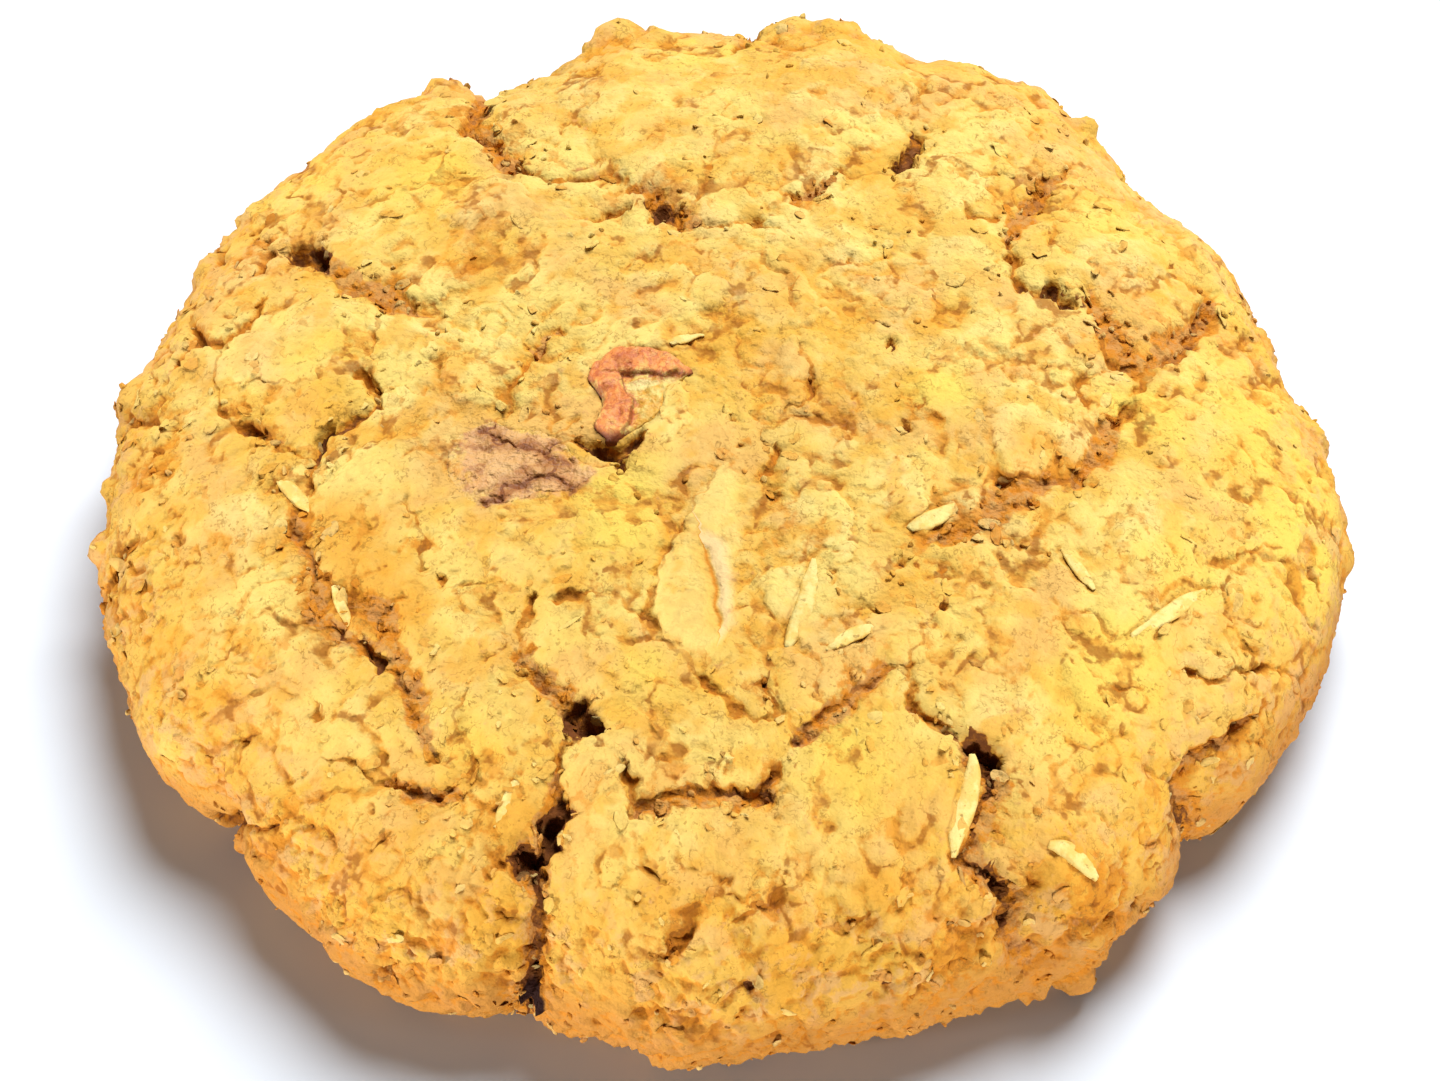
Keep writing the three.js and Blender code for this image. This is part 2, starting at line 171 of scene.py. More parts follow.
# Breaks between the plates: depth, then places on the map with the half width there
CRACKS = [
    # back left, from the rim inwards to the hole behind the crown, and on towards the back
    (0.9, [(-16.6, 35, 0.35), (-16.9, 30, 0.35), (-16.9, 26.5, 0.25), (-15.4, 25.2, 0.15)]),
    (1.0, [(-15, 24.8, 0.15), (-14.5, 23.4, 0.3), (-13.5, 22.2, 0.45), (-12.8, 21.4, 0.2),
           (-11.3, 21, 0.15)]),
    (0.6, [(-11.3, 21, 0.15), (-10.2, 21.6, 0.15), (-8.4, 22.4, 0.2), (-7.2, 21.6, 0.3),
           (-6.3, 20.6, 0.25)]),
    (0.7, [(-6.3, 20.6, 0.15), (-5.6, 19.4, 0.2), (-4.6, 18.4, 0.25)]),
    (1.8, [(-4.8, 18.2, 0.3), (-3.8, 17.2, 0.6), (-2.9, 16.2, 0.7), (-2.4, 15.2, 0.3)]),
    (0.6, [(-2.4, 15.8, 0.3), (-1.2, 15.9, 0.15), (0.8, 15.5, 0.1), (2.4, 15.9, 0.12), (3.9, 15.1, 0.1)]),
    (0.5, [(-2.1, 16.4, 0.3), (-1.3, 18.6, 0.15), (-0.8, 20.3, 0.15), (0.0, 22.2, 0.1), (0.3, 24.6, 0.15)]),
    (0.8, [(-6.2, 18.3, 0.15), (-7.6, 17.6, 0.28), (-8.7, 16.9, 0.15)]),
    (0.35, [(-13.5, 20.9, 0.12), (-16, 20.6, 0.12), (-19, 20.8, 0.12), (-21.5, 20.4, 0.08),
            (-24.5, 19.6, 0.08)]),
    (0.4, [(-18, 20.8, 0.2), (-18.2, 22.2, 0.2), (-18.1, 24.6, 0.12)]),
    # left, the deep hole and the trough that runs inwards from it
    (2.6, [(-28.6, 16.2, 0.4), (-27.6, 16.3, 1.1), (-26.8, 15.2, 0.9), (-26.4, 14.4, 0.3)]),
    (0.4, [(-27, 13.9, 0.15), (-25.2, 12.2, 0.12), (-23.2, 11.2, 0.15), (-21.4, 9.9, 0.15),
           (-19.6, 9.5, 0.1)]),
    (0.7, [(-31.8, 19.6, 0.15), (-30.9, 18.8, 0.25), (-30.4, 16.9, 0.2), (-31, 15.4, 0.12)]),
    (0.7, [(-36.5, 22.4, 0.15), (-35, 20.4, 0.3), (-34.2, 18.6, 0.15)]),
    # left, round the plate with its edge lifted
    (0.6, [(-36, 12.8, 0.15), (-34.9, 10, 0.2), (-33.6, 8.6, 0.25), (-32.8, 8.1, 0.12)]),
    (0.7, [(-32.7, 8.6, 0.12), (-31.4, 9.5, 0.2), (-30.4, 10.6, 0.2), (-30, 11.6, 0.1)]),
    (0.3, [(-33, 7.9, 0.1), (-33.4, 5.6, 0.08), (-32.9, 3.4, 0.08), (-31.6, 1.2, 0.12)]),
    (1.4, [(-31.4, 0.9, 0.12), (-30.5, 0.5, 0.3), (-29.4, -0.4, 0.25), (-28.2, -1.4, 0.18),
           (-26.6, -2.3, 0.12)]),
    (0.9, [(-26.6, -2.3, 0.12), (-25.9, -3.0, 0.15), (-25.8, -4, 0.18), (-25.9, -5, 0.1)]),
    (2.0, [(-25.9, -2.9, 0.15), (-25.6, -1.6, 0.4), (-24.8, -0.9, 0.3), (-23.4, -0.3, 0.15),
           (-22.2, 0.9, 0.12)]),
    (1.0, [(-22.2, 0.9, 0.12), (-22, 1.8, 0.15), (-22.6, 2.9, 0.25), (-23.3, 3.3, 0.3)]),
    (0.4, [(-22.7, 3.2, 0.15), (-22.8, 4.6, 0.12), (-22.4, 6.5, 0.12), (-22.3, 8.8, 0.08)]),
    (0.2, [(-31.9, 4.6, 0.06), (-29.5, 4.2, 0.06), (-27.6, 3.2, 0.08), (-26.4, 3.1, 0.06)]),
    # left of the middle
    (0.8, [(-11.4, 5.8, 0.1), (-12.4, 4.3, 0.15), (-13.3, 2.7, 0.12), (-13.9, 1.3, 0.2),
           (-13.6, 0.1, 0.15)]),
    (0.3, [(-14.8, 4.2, 0.1), (-15.8, 4.8, 0.08), (-18.6, 4.1, 0.08)]),
    # under the pecan, and the veins where the chocolate shows
    (2.6, [(-8.6, -2.8, 0.2), (-7.9, -3.3, 0.5), (-7.0, -3.8, 0.7), (-6.2, -4.4, 0.3)]),
    (1.4, [(-6.8, -3.4, 0.4), (-5.6, -2.9, 0.3), (-4.8, -2.4, 0.2)]),
    (0.4, [(-14.1, -0.6, 0.12), (-14.6, -1.7, 0.2), (-13.8, -2.6, 0.12), (-12.4, -3.1, 0.1),
           (-11.1, -3.5, 0.15)]),
    (0.4, [(-11.1, -3.5, 0.15), (-10.1, -4.5, 0.2), (-10.6, -5.6, 0.12), (-13.2, -6.4, 0.15),
           (-14.5, -7.9, 0.1)]),
    (0.4, [(-11.1, -3.5, 0.1), (-10.1, -2.8, 0.1), (-8.4, -3.0, 0.15)]),
    (0.3, [(-10.4, -5.4, 0.1), (-9.4, -6.8, 0.1)]),
    (0.4, [(-10.1, -1.8, 0.1), (-9.6, -1.5, 0.15), (-9.2, -0.9, 0.1)]),
    # left, the wide rough trough that curves to the front
    (0.6, [(-27.1, -6.4, 0.12), (-26.9, -8, 0.28), (-26.3, -9.8, 0.12), (-25.6, -11.6, 0.15),
           (-25.9, -12.6, 0.1)]),
    (0.5, [(-24.3, -12.2, 0.08), (-23.7, -13.8, 0.12), (-23.4, -15.4, 0.08)]),
    (1.7, [(-24.4, -15.8, 0.12), (-24.1, -17, 0.25), (-23, -18.4, 0.3), (-21.8, -19, 0.2)]),
    (0.4, [(-21.8, -19, 0.15), (-20.6, -19.6, 0.1), (-20, -21.2, 0.1), (-18.9, -22.9, 0.12),
           (-18.2, -23.9, 0.1)]),
    (0.3, [(-20, -7.4, 0.08), (-18.9, -9, 0.12), (-18.5, -10.6, 0.1), (-19.1, -12.2, 0.08)]),
    (0.4, [(-15.2, -13.2, 0.1), (-16.4, -14.1, 0.12), (-17.4, -14, 0.08)]),
    (0.4, [(-15.6, -20.8, 0.08), (-16, -23, 0.12), (-15.5, -25, 0.15), (-15.4, -26.4, 0.1)]),
    # front left, the notch of the rim and its end on the top
    (1.6, [(-44, -30, 1.4), (-39, -28, 0.9), (-35.5, -27.6, 0.4), (-32.4, -28, 0.15), (-30, -28.6, 0.1)]),
    (0.3, [(-33.6, -24.4, 0.1), (-32.4, -22.8, 0.12), (-30.9, -22.4, 0.1)]),
    (0.4, [(-26.5, -21.6, 0.1), (-26.4, -22.6, 0.15), (-25.5, -22.3, 0.1)]),
    (0.5, [(-25, -24.7, 0.1), (-23.4, -25.2, 0.15), (-22, -25.8, 0.12), (-20.7, -26.4, 0.25),
           (-19.3, -26.8, 0.15)]),
    (0.9, [(-19.3, -26.8, 0.15), (-18.3, -27.4, 0.4), (-17.6, -27.4, 0.3), (-16.5, -27.2, 0.12)]),
    # front left, the cleft that runs down over the side to the foot
    (1.3, [(-11.2, -14.6, 0.15), (-11.4, -15.1, 0.3), (-11.9, -15.8, 0.25), (-12.2, -17.4, 0.15)]),
    (0.8, [(-12.2, -17.4, 0.15), (-11.9, -18.5, 0.25), (-12.2, -19.6, 0.12), (-11.2, -20.3, 0.12)]),
    (0.8, [(-11.2, -20.3, 0.12), (-10.2, -21, 0.2), (-9.5, -22.2, 0.3)]),
    (2.8, [(-9.4, -22, 0.3), (-9.1, -23, 0.8), (-8.7, -24, 1.15), (-7.5, -24.6, 0.45)]),
    (0.8, [(-8.9, -24.8, 0.2), (-9.9, -25.3, 0.12), (-10.2, -26.8, 0.15), (-10.3, -29, 0.15)]),
    (3.2, [(-10.0, -29.2, 0.3), (-10.2, -30.4, 0.8), (-10.9, -31.8, 1.1), (-12.0, -33.0, 0.9)]),
    (2.4, [(-11, -32.2, 0.6), (-12.7, -32.4, 0.8), (-12.5, -33.4, 0.5)]),
    (2.2, [(-11.7, -33.8, 0.3), (-11.5, -35.6, 0.35), (-11.7, -37.2, 0.3), (-12.4, -39, 0.4),
           (-12.8, -40.6, 0.4)]),
    (2.8, [(-12.8, -41.0, 0.5), (-13.3, -42, 0.95), (-14.2, -44, 0.5), (-16.5, -48.5, 0.6)]),
    # front, round the large oat and the plate in front of it
    (0.5, [(-0.4, -5.4, 0.08), (-1.7, -8, 0.1), (-2.4, -10, 0.1), (-3.3, -11.9, 0.12),
           (-4.1, -13.7, 0.12)]),
    (0.5, [(-4.1, -13.7, 0.12), (-4.6, -15.6, 0.12), (-4.4, -17.4, 0.15), (-2.6, -19.1, 0.2),
           (-0.7, -20.6, 0.2)]),
    (0.6, [(-0.7, -20.6, 0.25), (-0.3, -21.4, 0.2), (0.3, -22, 0.12), (1.6, -23.6, 0.1),
           (3.2, -24.3, 0.12)]),
    (0.4, [(2.7, -21.4, 0.25), (3.4, -22.8, 0.12), (4.4, -23.8, 0.12), (5, -24.8, 0.15)]),
    (0.4, [(-9.9, -14.5, 0.15), (-9, -14.2, 0.2), (-7.6, -14, 0.1)]),
    (1.1, [(-5.4, -30.3, 0.12), (-4.5, -29.3, 0.25), (-2.7, -28.4, 0.3), (-0.9, -28.1, 0.3),
           (1.6, -28.9, 0.2)]),
    (1.3, [(1.6, -28.9, 0.2), (2.9, -28.7, 0.5), (3.4, -27.7, 0.3), (3.9, -26.8, 0.12)]),
    (0.9, [(-5.8, -27.1, 0.15), (-5.6, -28, 0.3), (-5.5, -29.2, 0.15)]),
    (0.5, [(-5, -33.3, 0.15), (-4.1, -34, 0.2), (-3.2, -34.4, 0.1)]),
    (1.0, [(-1.5, -35.3, 0.15), (-1.9, -36.8, 0.4), (-2.8, -37.9, 0.4), (-3.8, -38.7, 0.15)]),
    (0.8, [(-23.3, -39.8, 0.15), (-22.8, -39, 0.3), (-22.3, -38.2, 0.15)]),
    (0.6, [(-5.8, -43.5, 0.15), (-4.6, -43, 0.25), (-3.6, -42.4, 0.15)]),
    (0.4, [(1.2, -37, 0.1), (2.2, -36.2, 0.15), (3.8, -35.8, 0.2), (5, -35, 0.1)]),
    (0.3, [(7.2, -37.8, 0.08), (8.4, -37.4, 0.15), (9.6, -36.8, 0.1)]),
    # front right
    (0.8, [(5, -25.8, 0.2), (5.8, -24.4, 0.18), (7.4, -22.8, 0.15), (8.8, -21.6, 0.12),
           (10.2, -20.3, 0.1)]),
    (0.4, [(10.2, -20.3, 0.1), (12, -19.4, 0.1), (12, -17.8, 0.12), (13.2, -16.3, 0.12),
           (14.1, -15.1, 0.15)]),
    (0.7, [(12, -19.6, 0.1), (12.1, -21.8, 0.15), (13, -23, 0.15), (14.4, -24.3, 0.2), (15.2, -24.2, 0.2)]),
    (3.0, [(15.4, -23.6, 0.4), (16.0, -24.3, 0.8), (16.7, -25.3, 0.65), (16.9, -26.6, 0.3),
           (16.8, -28, 0.2)]),
    (1.6, [(16.6, -28, 0.15), (16.4, -29.6, 0.15), (16.1, -31.2, 0.15), (15.7, -32.4, 0.2),
           (16.8, -33.2, 0.12)]),
    (2.8, [(17.6, -32.8, 0.2), (18.1, -33.8, 0.4), (18.6, -34.9, 0.5), (19.1, -36.0, 0.6),
           (19.3, -37.2, 0.2)]),
    (0.8, [(19.2, -37.2, 0.15), (20.3, -38, 0.2), (21.4, -38.6, 0.3), (22.2, -38, 0.12)]),
    (0.9, [(18.9, -34.6, 0.3), (19.8, -33.8, 0.25), (20.1, -33, 0.1)]),
    # right, the fold under the edge of the top, ending in a notch of the rim
    (0.8, [(36.5, -18.4, 0.15), (35, -21, 0.2), (33.4, -22.5, 0.15), (32.4, -24.4, 0.15),
           (31.6, -26.4, 0.2)]),
    (1.2, [(31.6, -26.4, 0.2), (34, -27.6, 0.35), (38, -29.5, 0.8), (42, -32, 0.9)]),
    (0.8, [(30.2, -18.1, 0.1), (31.6, -18.1, 0.25), (33, -17.6, 0.15), (35.6, -16.2, 0.1)]),
    (0.3, [(24, -19.5, 0.1), (25.4, -20.5, 0.15), (26.9, -20.4, 0.1)]),
    (0.3, [(27.9, -16, 0.1), (28.8, -14.6, 0.1), (30.3, -13, 0.08)]),
    (0.3, [(24, -15.2, 0.08), (24.6, -16.3, 0.12), (26, -16.8, 0.08)]),
    (0.5, [(31.2, -9.9, 0.15), (32.2, -9.2, 0.2), (33.3, -8.5, 0.1)]),
    (0.3, [(33.3, -8.3, 0.1), (35, -7.9, 0.12), (37.6, -8, 0.12), (40, -9.3, 0.1)]),
    # right, the rough trough from the back right towards the middle
    (0.7, [(24.6, 10.8, 0.2), (25.4, 9.6, 0.2), (25.6, 7.4, 0.2), (26.1, 5.6, 0.2), (27.7, 4.8, 0.25)]),
    (1.0, [(28.4, 4.9, 0.15), (29.6, 6, 0.3), (30.8, 7, 0.3), (32.2, 8.4, 0.35), (33.2, 11, 0.3),
           (34.2, 13.6, 0.2)]),
    (0.8, [(28.4, 4.9, 0.15), (27.6, 3.2, 0.12), (26.9, 1.7, 0.15), (26, 1.1, 0.2), (25.3, 0.2, 0.12)]),
    (0.5, [(25.4, 4.8, 0.1), (24, 3.6, 0.15), (23, 2.2, 0.2), (23.4, 1.3, 0.12), (25, 1.8, 0.1)]),
    (0.6, [(22.6, -4.4, 0.15), (21.6, -5.1, 0.2), (20.3, -4.8, 0.15), (19.2, -4.8, 0.1),
           (18.1, -5.6, 0.25)]),
    # back right, slits and a long thin break
    (2.4, [(13.1, 25.2, 0.15), (12.9, 23.9, 0.5), (12.2, 22.3, 0.4), (11.8, 21.1, 0.15)]),
    (0.5, [(11.7, 21.1, 0.12), (9.5, 21, 0.12), (7.6, 21.3, 0.1)]),
    (0.3, [(7.2, 19.6, 0.12), (5.6, 18.2, 0.15), (4, 17.3, 0.1)]),
    (0.4, [(15.6, 22.4, 0.1), (16.4, 21.4, 0.2), (17.6, 21.6, 0.15), (18.6, 22.2, 0.1)]),
    (0.4, [(12.6, 30.4, 0.1), (13.3, 28.6, 0.2), (14.2, 30.8, 0.1)]),
    (1.0, [(23.9, 24.3, 0.15), (22.7, 22.4, 0.3), (21.8, 20.4, 0.45), (21, 19.2, 0.15)]),
    (0.5, [(16.2, 18.2, 0.1), (17.2, 17.2, 0.2), (18.8, 17.7, 0.12)]),
    (1.3, [(20, 15.8, 0.12), (19.9, 13.8, 0.3), (20, 12.4, 0.2), (20, 10.9, 0.15), (21.4, 10.7, 0.2)]),
    (2.2, [(21.8, 11.2, 0.5), (22.3, 11.3, 0.65), (22.6, 10.6, 0.3), (23.9, 9.9, 0.12)]),
    (0.3, [(26.8, 21.8, 0.1), (27.8, 22.6, 0.12), (29, 23.6, 0.1)]),
    (0.3, [(23.3, 18, 0.1), (22.9, 16.4, 0.12), (22.2, 14.6, 0.1)]),
    (0.35, [(2.2, 12.8, 0.1), (3.4, 11.6, 0.15), (4.3, 10.8, 0.12), (4.9, 9.2, 0.15), (4.8, 7.4, 0.15)]),
    (0.4, [(5.4, 5, 0.1), (6.0, 3.6, 0.2), (6.3, 2.4, 0.2), (5.6, 0.8, 0.1), (4.4, -0.4, 0.1),
           (3, -2.4, 0.08)]),
    (0.35, [(4.4, -1.1, 0.15), (6.2, -1.3, 0.12), (7.8, -1.4, 0.15), (8.2, -2.8, 0.2), (8.6, -3.6, 0.1)]),
    (0.6, [(3.9, -3.3, 0.15), (3.4, -4.6, 0.2), (3, -5.4, 0.12), (3.6, -6.6, 0.2)]),
    # left side, where the glaze browned in the creases
    (0.7, [(-41, 6, 0.2), (-39, 4.6, 0.3), (-37.4, 2.7, 0.25), (-35.8, 1.8, 0.1)]),
    (0.6, [(-38.6, -5.6, 0.15), (-41.5, -6.8, 0.3), (-45, -7.4, 0.3)]),
    # side walls that face back
    (0.9, [(1.2, 36, 0.2), (2.4, 39, 0.5), (2.0, 50, 0.6)]),
    (1.3, [(30, 28, 0.3), (35.5, 33, 0.7), (37, 38, 0.5)]),
    (1.4, [(43, 14, 0.3), (46.5, 16.5, 0.7), (50.5, 17, 0.6)]),
    (1.4, [(-36, 26, 0.4), (-39, 30, 0.7), (-41, 33, 0.5)]),
]  # fmt: skip

# Wide shallow troughs with a floor of open crumb: depth, then places with the half width there
TROUGHS = [
    (1.3, [(-17.2, 44, 1.2), (-16.8, 31, 0.9), (-16.2, 26, 1.0), (-14.2, 23.4, 1.1), (-12.8, 21.2, 0.5)]),
    (0.8, [(-5.6, 19.8, 0.5), (-3.4, 17, 1.1), (-1.6, 16, 0.7)]),
    (0.5, [(-26.4, 14.6, 1.0), (-24.4, 12.6, 1.1), (-22.6, 11.2, 1.0), (-20.6, 9.4, 0.8), (-19, 9, 0.3)]),
    (0.5, [(-27, -6.6, 0.4), (-26.3, -9.6, 0.6), (-25.3, -12.4, 0.8), (-25.3, -15, 0.9),
           (-23.2, -18, 1.0)]),
    (0.6, [(-22.6, -14.4, 0.8), (-21.6, -17.2, 1.2), (-19.9, -20, 1.0), (-18.6, -22.8, 0.9),
           (-17.6, -24.6, 0.4)]),
    (0.6, [(-20.4, -26.4, 0.5), (-18, -27.4, 0.9), (-16.2, -27.6, 0.5)]),
    (0.8, [(-12, -18.6, 0.5), (-10.2, -21, 0.7), (-8.7, -23.6, 1.2)]),
    (1.0, [(-10.2, -27, 0.4), (-10.4, -30, 0.9), (-12, -32.6, 1.5), (-11.6, -35.4, 0.8),
           (-12.6, -40, 1.0)]),
    (0.8, [(-14, -43, 1.6), (-16.5, -48, 1.0)]),
    (0.9, [(-4.8, -29.8, 0.6), (-2, -28.6, 0.9), (1.2, -29.2, 0.8), (3.2, -28.4, 0.9)]),
    (0.4, [(5.2, -25.4, 0.6), (8.2, -22, 0.8), (10.4, -20, 0.5)]),
    (0.6, [(12.6, -22.6, 0.4), (15.4, -24.6, 0.8), (17.2, -26.6, 1.0), (16.8, -30, 0.9),
           (15.8, -32.6, 0.8)]),
    (0.9, [(16.6, -33.2, 0.7), (18.8, -34.6, 1.3), (19.8, -37.4, 1.0), (22, -39, 1.2)]),
    (0.8, [(36, -19.6, 0.4), (33.6, -22.6, 0.6), (32, -26, 0.8), (36, -28.6, 1.4), (41, -31.6, 1.6)]),
    (0.9, [(25, 11.4, 0.7), (26.4, 8.6, 1.2), (27.6, 6.2, 1.3), (30, 7, 1.0), (32.8, 10.4, 1.0),
           (34.4, 14, 0.6)]),
    (0.8, [(25.8, 1.4, 0.3), (24.6, -0.6, 0.8), (23.8, -2.8, 1.0), (22.2, -5, 0.6)]),
    (0.45, [(20.4, -4.8, 0.7), (19, -6.8, 1.3), (16.6, -9.2, 1.1), (13.6, -10.8, 0.6)]),
    (0.6, [(23.4, 23, 0.5), (21.6, 20.4, 0.9), (20.6, 17.4, 0.8), (20, 16, 0.4)]),
    (0.5, [(7.2, 19.4, 0.5), (5.4, 17.8, 0.6)]),
    (0.5, [(-10.6, 6.8, 0.4), (-12, 5.4, 0.4)]),
]  # fmt: skip

# Small holes: place on the map, and radius
PITS = [
    (11.3, 5.0, 0.42), (11.3, 5.8, 0.2), (11.6, -1.5, 0.35), (13.0, 0.0, 0.2), (1.1, -1.3, 0.25),
    (1.5, -3.3, 0.25), (2.9, -9.7, 0.2), (6.8, -12.8, 0.3), (7.2, -13.6, 0.2), (11.7, -12.3, 0.25),
    (12.9, -12.3, 0.2), (14.0, -15.4, 0.35), (14.3, -12.8, 0.2), (3.0, -21.7, 0.35), (4.2, -20.0, 0.2),
    (-1.8, 5.0, 0.25), (-26.4, -22.0, 0.2), (29.6, -33.6, 0.5), (-4.8, 8.2, 0.2), (-18.2, -13.4, 0.35),
    (8.5, 12.0, 0.2), (4.9, 9.3, 0.3), (-20.2, -37.6, 0.3), (-20.6, -39.0, 0.25), (2.0, -41.4, 0.5),
    (11.4, -41.2, 0.4), (6.7, -18.7, 0.2), (9.7, -15.6, 0.2), (-29.3, 16.9, 0.3), (18.0, -5.7, 0.35),
    (20.3, -4.8, 0.25), (16.8, -7.3, 0.2), (22.2, -4.6, 0.3), (-36.3, 8.2, 0.3), (28.0, 18.5, 0.25),
    (30.8, 15.8, 0.3),
]  # fmt: skip

# Where the crust browned most: place on the map, radius, and strength
BROWNED = [
    (21.5, -3.5, 2.2, 0.6), (18.5, -6.0, 2.6, 0.8), (15.8, -9.2, 2.4, 0.7), (12.5, -11.0, 2.0, 0.5),
    (13.4, -15.0, 1.6, 0.5), (26.8, 7.0, 2.0, 0.7), (31.0, 9.0, 1.8, 0.9), (34.0, 13.0, 1.3, 0.8),
    (23.6, 1.2, 1.4, 0.7), (-17.0, 12.5, 2.0, 0.9), (-21.5, 11.8, 1.8, 0.5), (-37.2, -1.0, 2.0, 0.9),
    (-31.6, 2.0, 1.3, 0.8), (-29.0, 0.6, 1.0, 0.8), (-26.8, -7.0, 1.4, 0.7), (-24.6, -13.2, 1.8, 0.8),
    (-22.6, -15.2, 2.2, 0.9), (-20.6, -14.6, 1.4, 0.6), (-18.6, -10.2, 1.3, 0.6),
    (-14.6, -30.0, 2.2, 0.8), (-13.6, -32.6, 1.6, 0.8), (-12.2, -27.4, 1.4, 0.5),
    (-36.0, -17.0, 3.0, 0.4), (-40.0, -10.0, 4.0, 0.4), (-30.0, -28.6, 4.0, 0.4),
    (24.0, -33.2, 3.2, 1.0), (28.0, -35.6, 2.6, 0.7), (15.6, -38.6, 3.0, 0.8), (11.0, -36.0, 2.4, 0.5),
    (-3.2, -27.0, 1.4, 0.5), (0.4, -27.2, 1.4, 0.5), (3.0, -27.0, 1.2, 0.5), (15.2, -31.6, 1.0, 0.9),
    (16.4, -33.4, 1.3, 0.7), (2.8, -20.6, 2.0, 0.5), (8.6, -21.0, 2.4, 0.5), (3.0, -35.8, 2.0, 0.8),
    (-17.0, -36.6, 2.6, 0.6), (-2.2, -36.6, 1.6, 0.6), (35.6, -22.6, 3.0, 0.5), (33.0, -27.0, 2.0, 0.7),
    (12.6, -0.6, 1.4, 0.7), (8.2, -1.0, 2.0, 0.4), (-35.0, 9.4, 1.6, 0.7), (-32.2, 17.6, 1.6, 0.7),
    (-17.6, 29.0, 1.2, 0.9), (5.4, 34.5, 1.2, 0.5), (-7.0, 37.5, 1.2, 0.5), (6.0, 17.6, 1.6, 0.5),
    (20.2, 17.4, 1.2, 0.6), (5.4, 1.6, 1.6, 0.5), (0.6, 26.0, 2.0, 0.3),
]  # fmt: skip

# Broad tints of the glaze: place on the map, radius, and warmth from -1, pale yellow, to 1, orange
TINTS = [
    (-23.4, -8.3, 3.0, 0.7), (-23.0, -14.0, 3.5, 0.8), (-12.9, -30.0, 2.8, 0.9), (5.0, 12.0, 2.4, 0.6),
    (4.6, 8.0, 2.2, 0.5), (16.9, 12.1, 2.0, 0.5), (22.0, -33.0, 3.0, 0.9), (9.8, -34.5, 2.2, 0.6),
    (5.2, -41.0, 3.6, 0.6), (-3.3, -35.5, 2.6, 0.6), (-13.4, -37.7, 2.2, 0.6), (10.8, -14.7, 2.2, 0.5),
    (14.0, -19.8, 2.2, 0.5), (19.7, -2.7, 1.8, 0.5), (-13.2, 23.5, 2.2, 0.4), (-4.2, 25.5, 2.6, 0.4),
    (-38.2, -1.1, 2.6, 0.6), (-32.9, -10.6, 2.6, 0.4), (-22.1, 11.5, 2.2, 0.5),
    (-38.6, -19.4, 2.4, 0.4), (38.2, -7.8, 5.0, -0.65), (36.4, -1.1, 5.0, -0.45),
    (36.0, 6.0, 5.0, -0.5), (25.0, -21.2, 4.0, -0.8), (27.3, 0.9, 3.0, -0.7), (8.3, -26.8, 4.0, -0.7),
    (-4.7, -21.0, 2.6, -0.6), (-6.7, -9.2, 3.6, -0.6), (-18.7, 21.3, 4.0, -0.6),
    (-26.3, 5.3, 3.6, -0.5), (-15.2, -24.2, 3.0, -0.5), (14.7, 1.3, 2.2, -0.4),
    (29.0, -10.0, 4.0, -0.5), (-1.4, 36.4, 4.0, -0.5), (-28.0, 24.0, 5.0, -0.5),
    (27.0, 19.0, 5.0, -0.4), (-27.5, -8.6, 2.6, 0.4), (-20.6, -15.6, 2.4, 0.4),
    (-15.2, -35.3, 2.6, 0.4), (4.7, -39.5, 3.0, 0.3), (23.6, -33.2, 2.6, 0.4), (11.6, -35.4, 2.6, 0.3),
    (26.0, -17.5, 3.0, -0.4), (14.5, 1.0, 2.4, -0.4), (-4.6, -6.6, 2.6, -0.4), (36.7, 15.8, 4.0, -0.4),
]  # fmt: skip

BREAK_DEPTH = 0.6  # a crack at least this deep parts two plates
DEEP_CRACK = 1.5  # crumb bridges a shallower one more
CRACK_REACH = 7.0  # how far from its route a crack leaves its marks
TROUGH_REACH = 4.0
MARK_REACH = 3.0  # marks that hold a distance in mm stop here
FAR = 99.0

LIP_REACH = 1.0  # the places of the mesh are drawn together this near the lips of the cracks
LIP_PULL = 0.5


def along_route(place, route):
    """Signed distance to a route, the half width there, and its nearest point, for each place."""
    distance = np.full(len(place), FAR)
    side = np.ones(len(place))
    half = np.full(len(place), 0.5)
    nearest = place.copy()
    for (ax, ay, ah), (bx, by, bh) in zip(route, route[1:]):
        start, run = np.array([ax, ay]), np.array([bx - ax, by - ay])
        share = np.clip((place - start) @ run / (run @ run), 0, 1)
        point = start + share[:, None] * run
        away = np.linalg.norm(place - point, axis=1)
        turn = (place[:, 0] - ax) * run[1] - (place[:, 1] - ay) * run[0]
        closer = away < distance
        distance[closer] = away[closer]
        side[closer] = np.where(turn < 0, -1.0, 1.0)[closer]
        half[closer] = (ah + share * (bh - ah))[closer]
        nearest[closer] = point[closer]
    return side * distance, half, nearest


def near_route(place, route, reach):
    """Numbers of the places that lie within reach of the box around a route."""
    corners = np.array(route)[:, :2]
    inside = (place > corners.min(0) - reach) & (place < corners.max(0) + reach)
    return np.flatnonzero(inside.all(axis=1))


def ragged(place, point):
    """The places, shifted a little by noise, so that what is drawn on them gets torn edges."""
    shift = [0.3 * swells(point, 2.6, seed) + 0.5 * swells(point, 1.1, seed + 1, 2) for seed in (3, 5)]
    return place + np.stack(shift, axis=1)


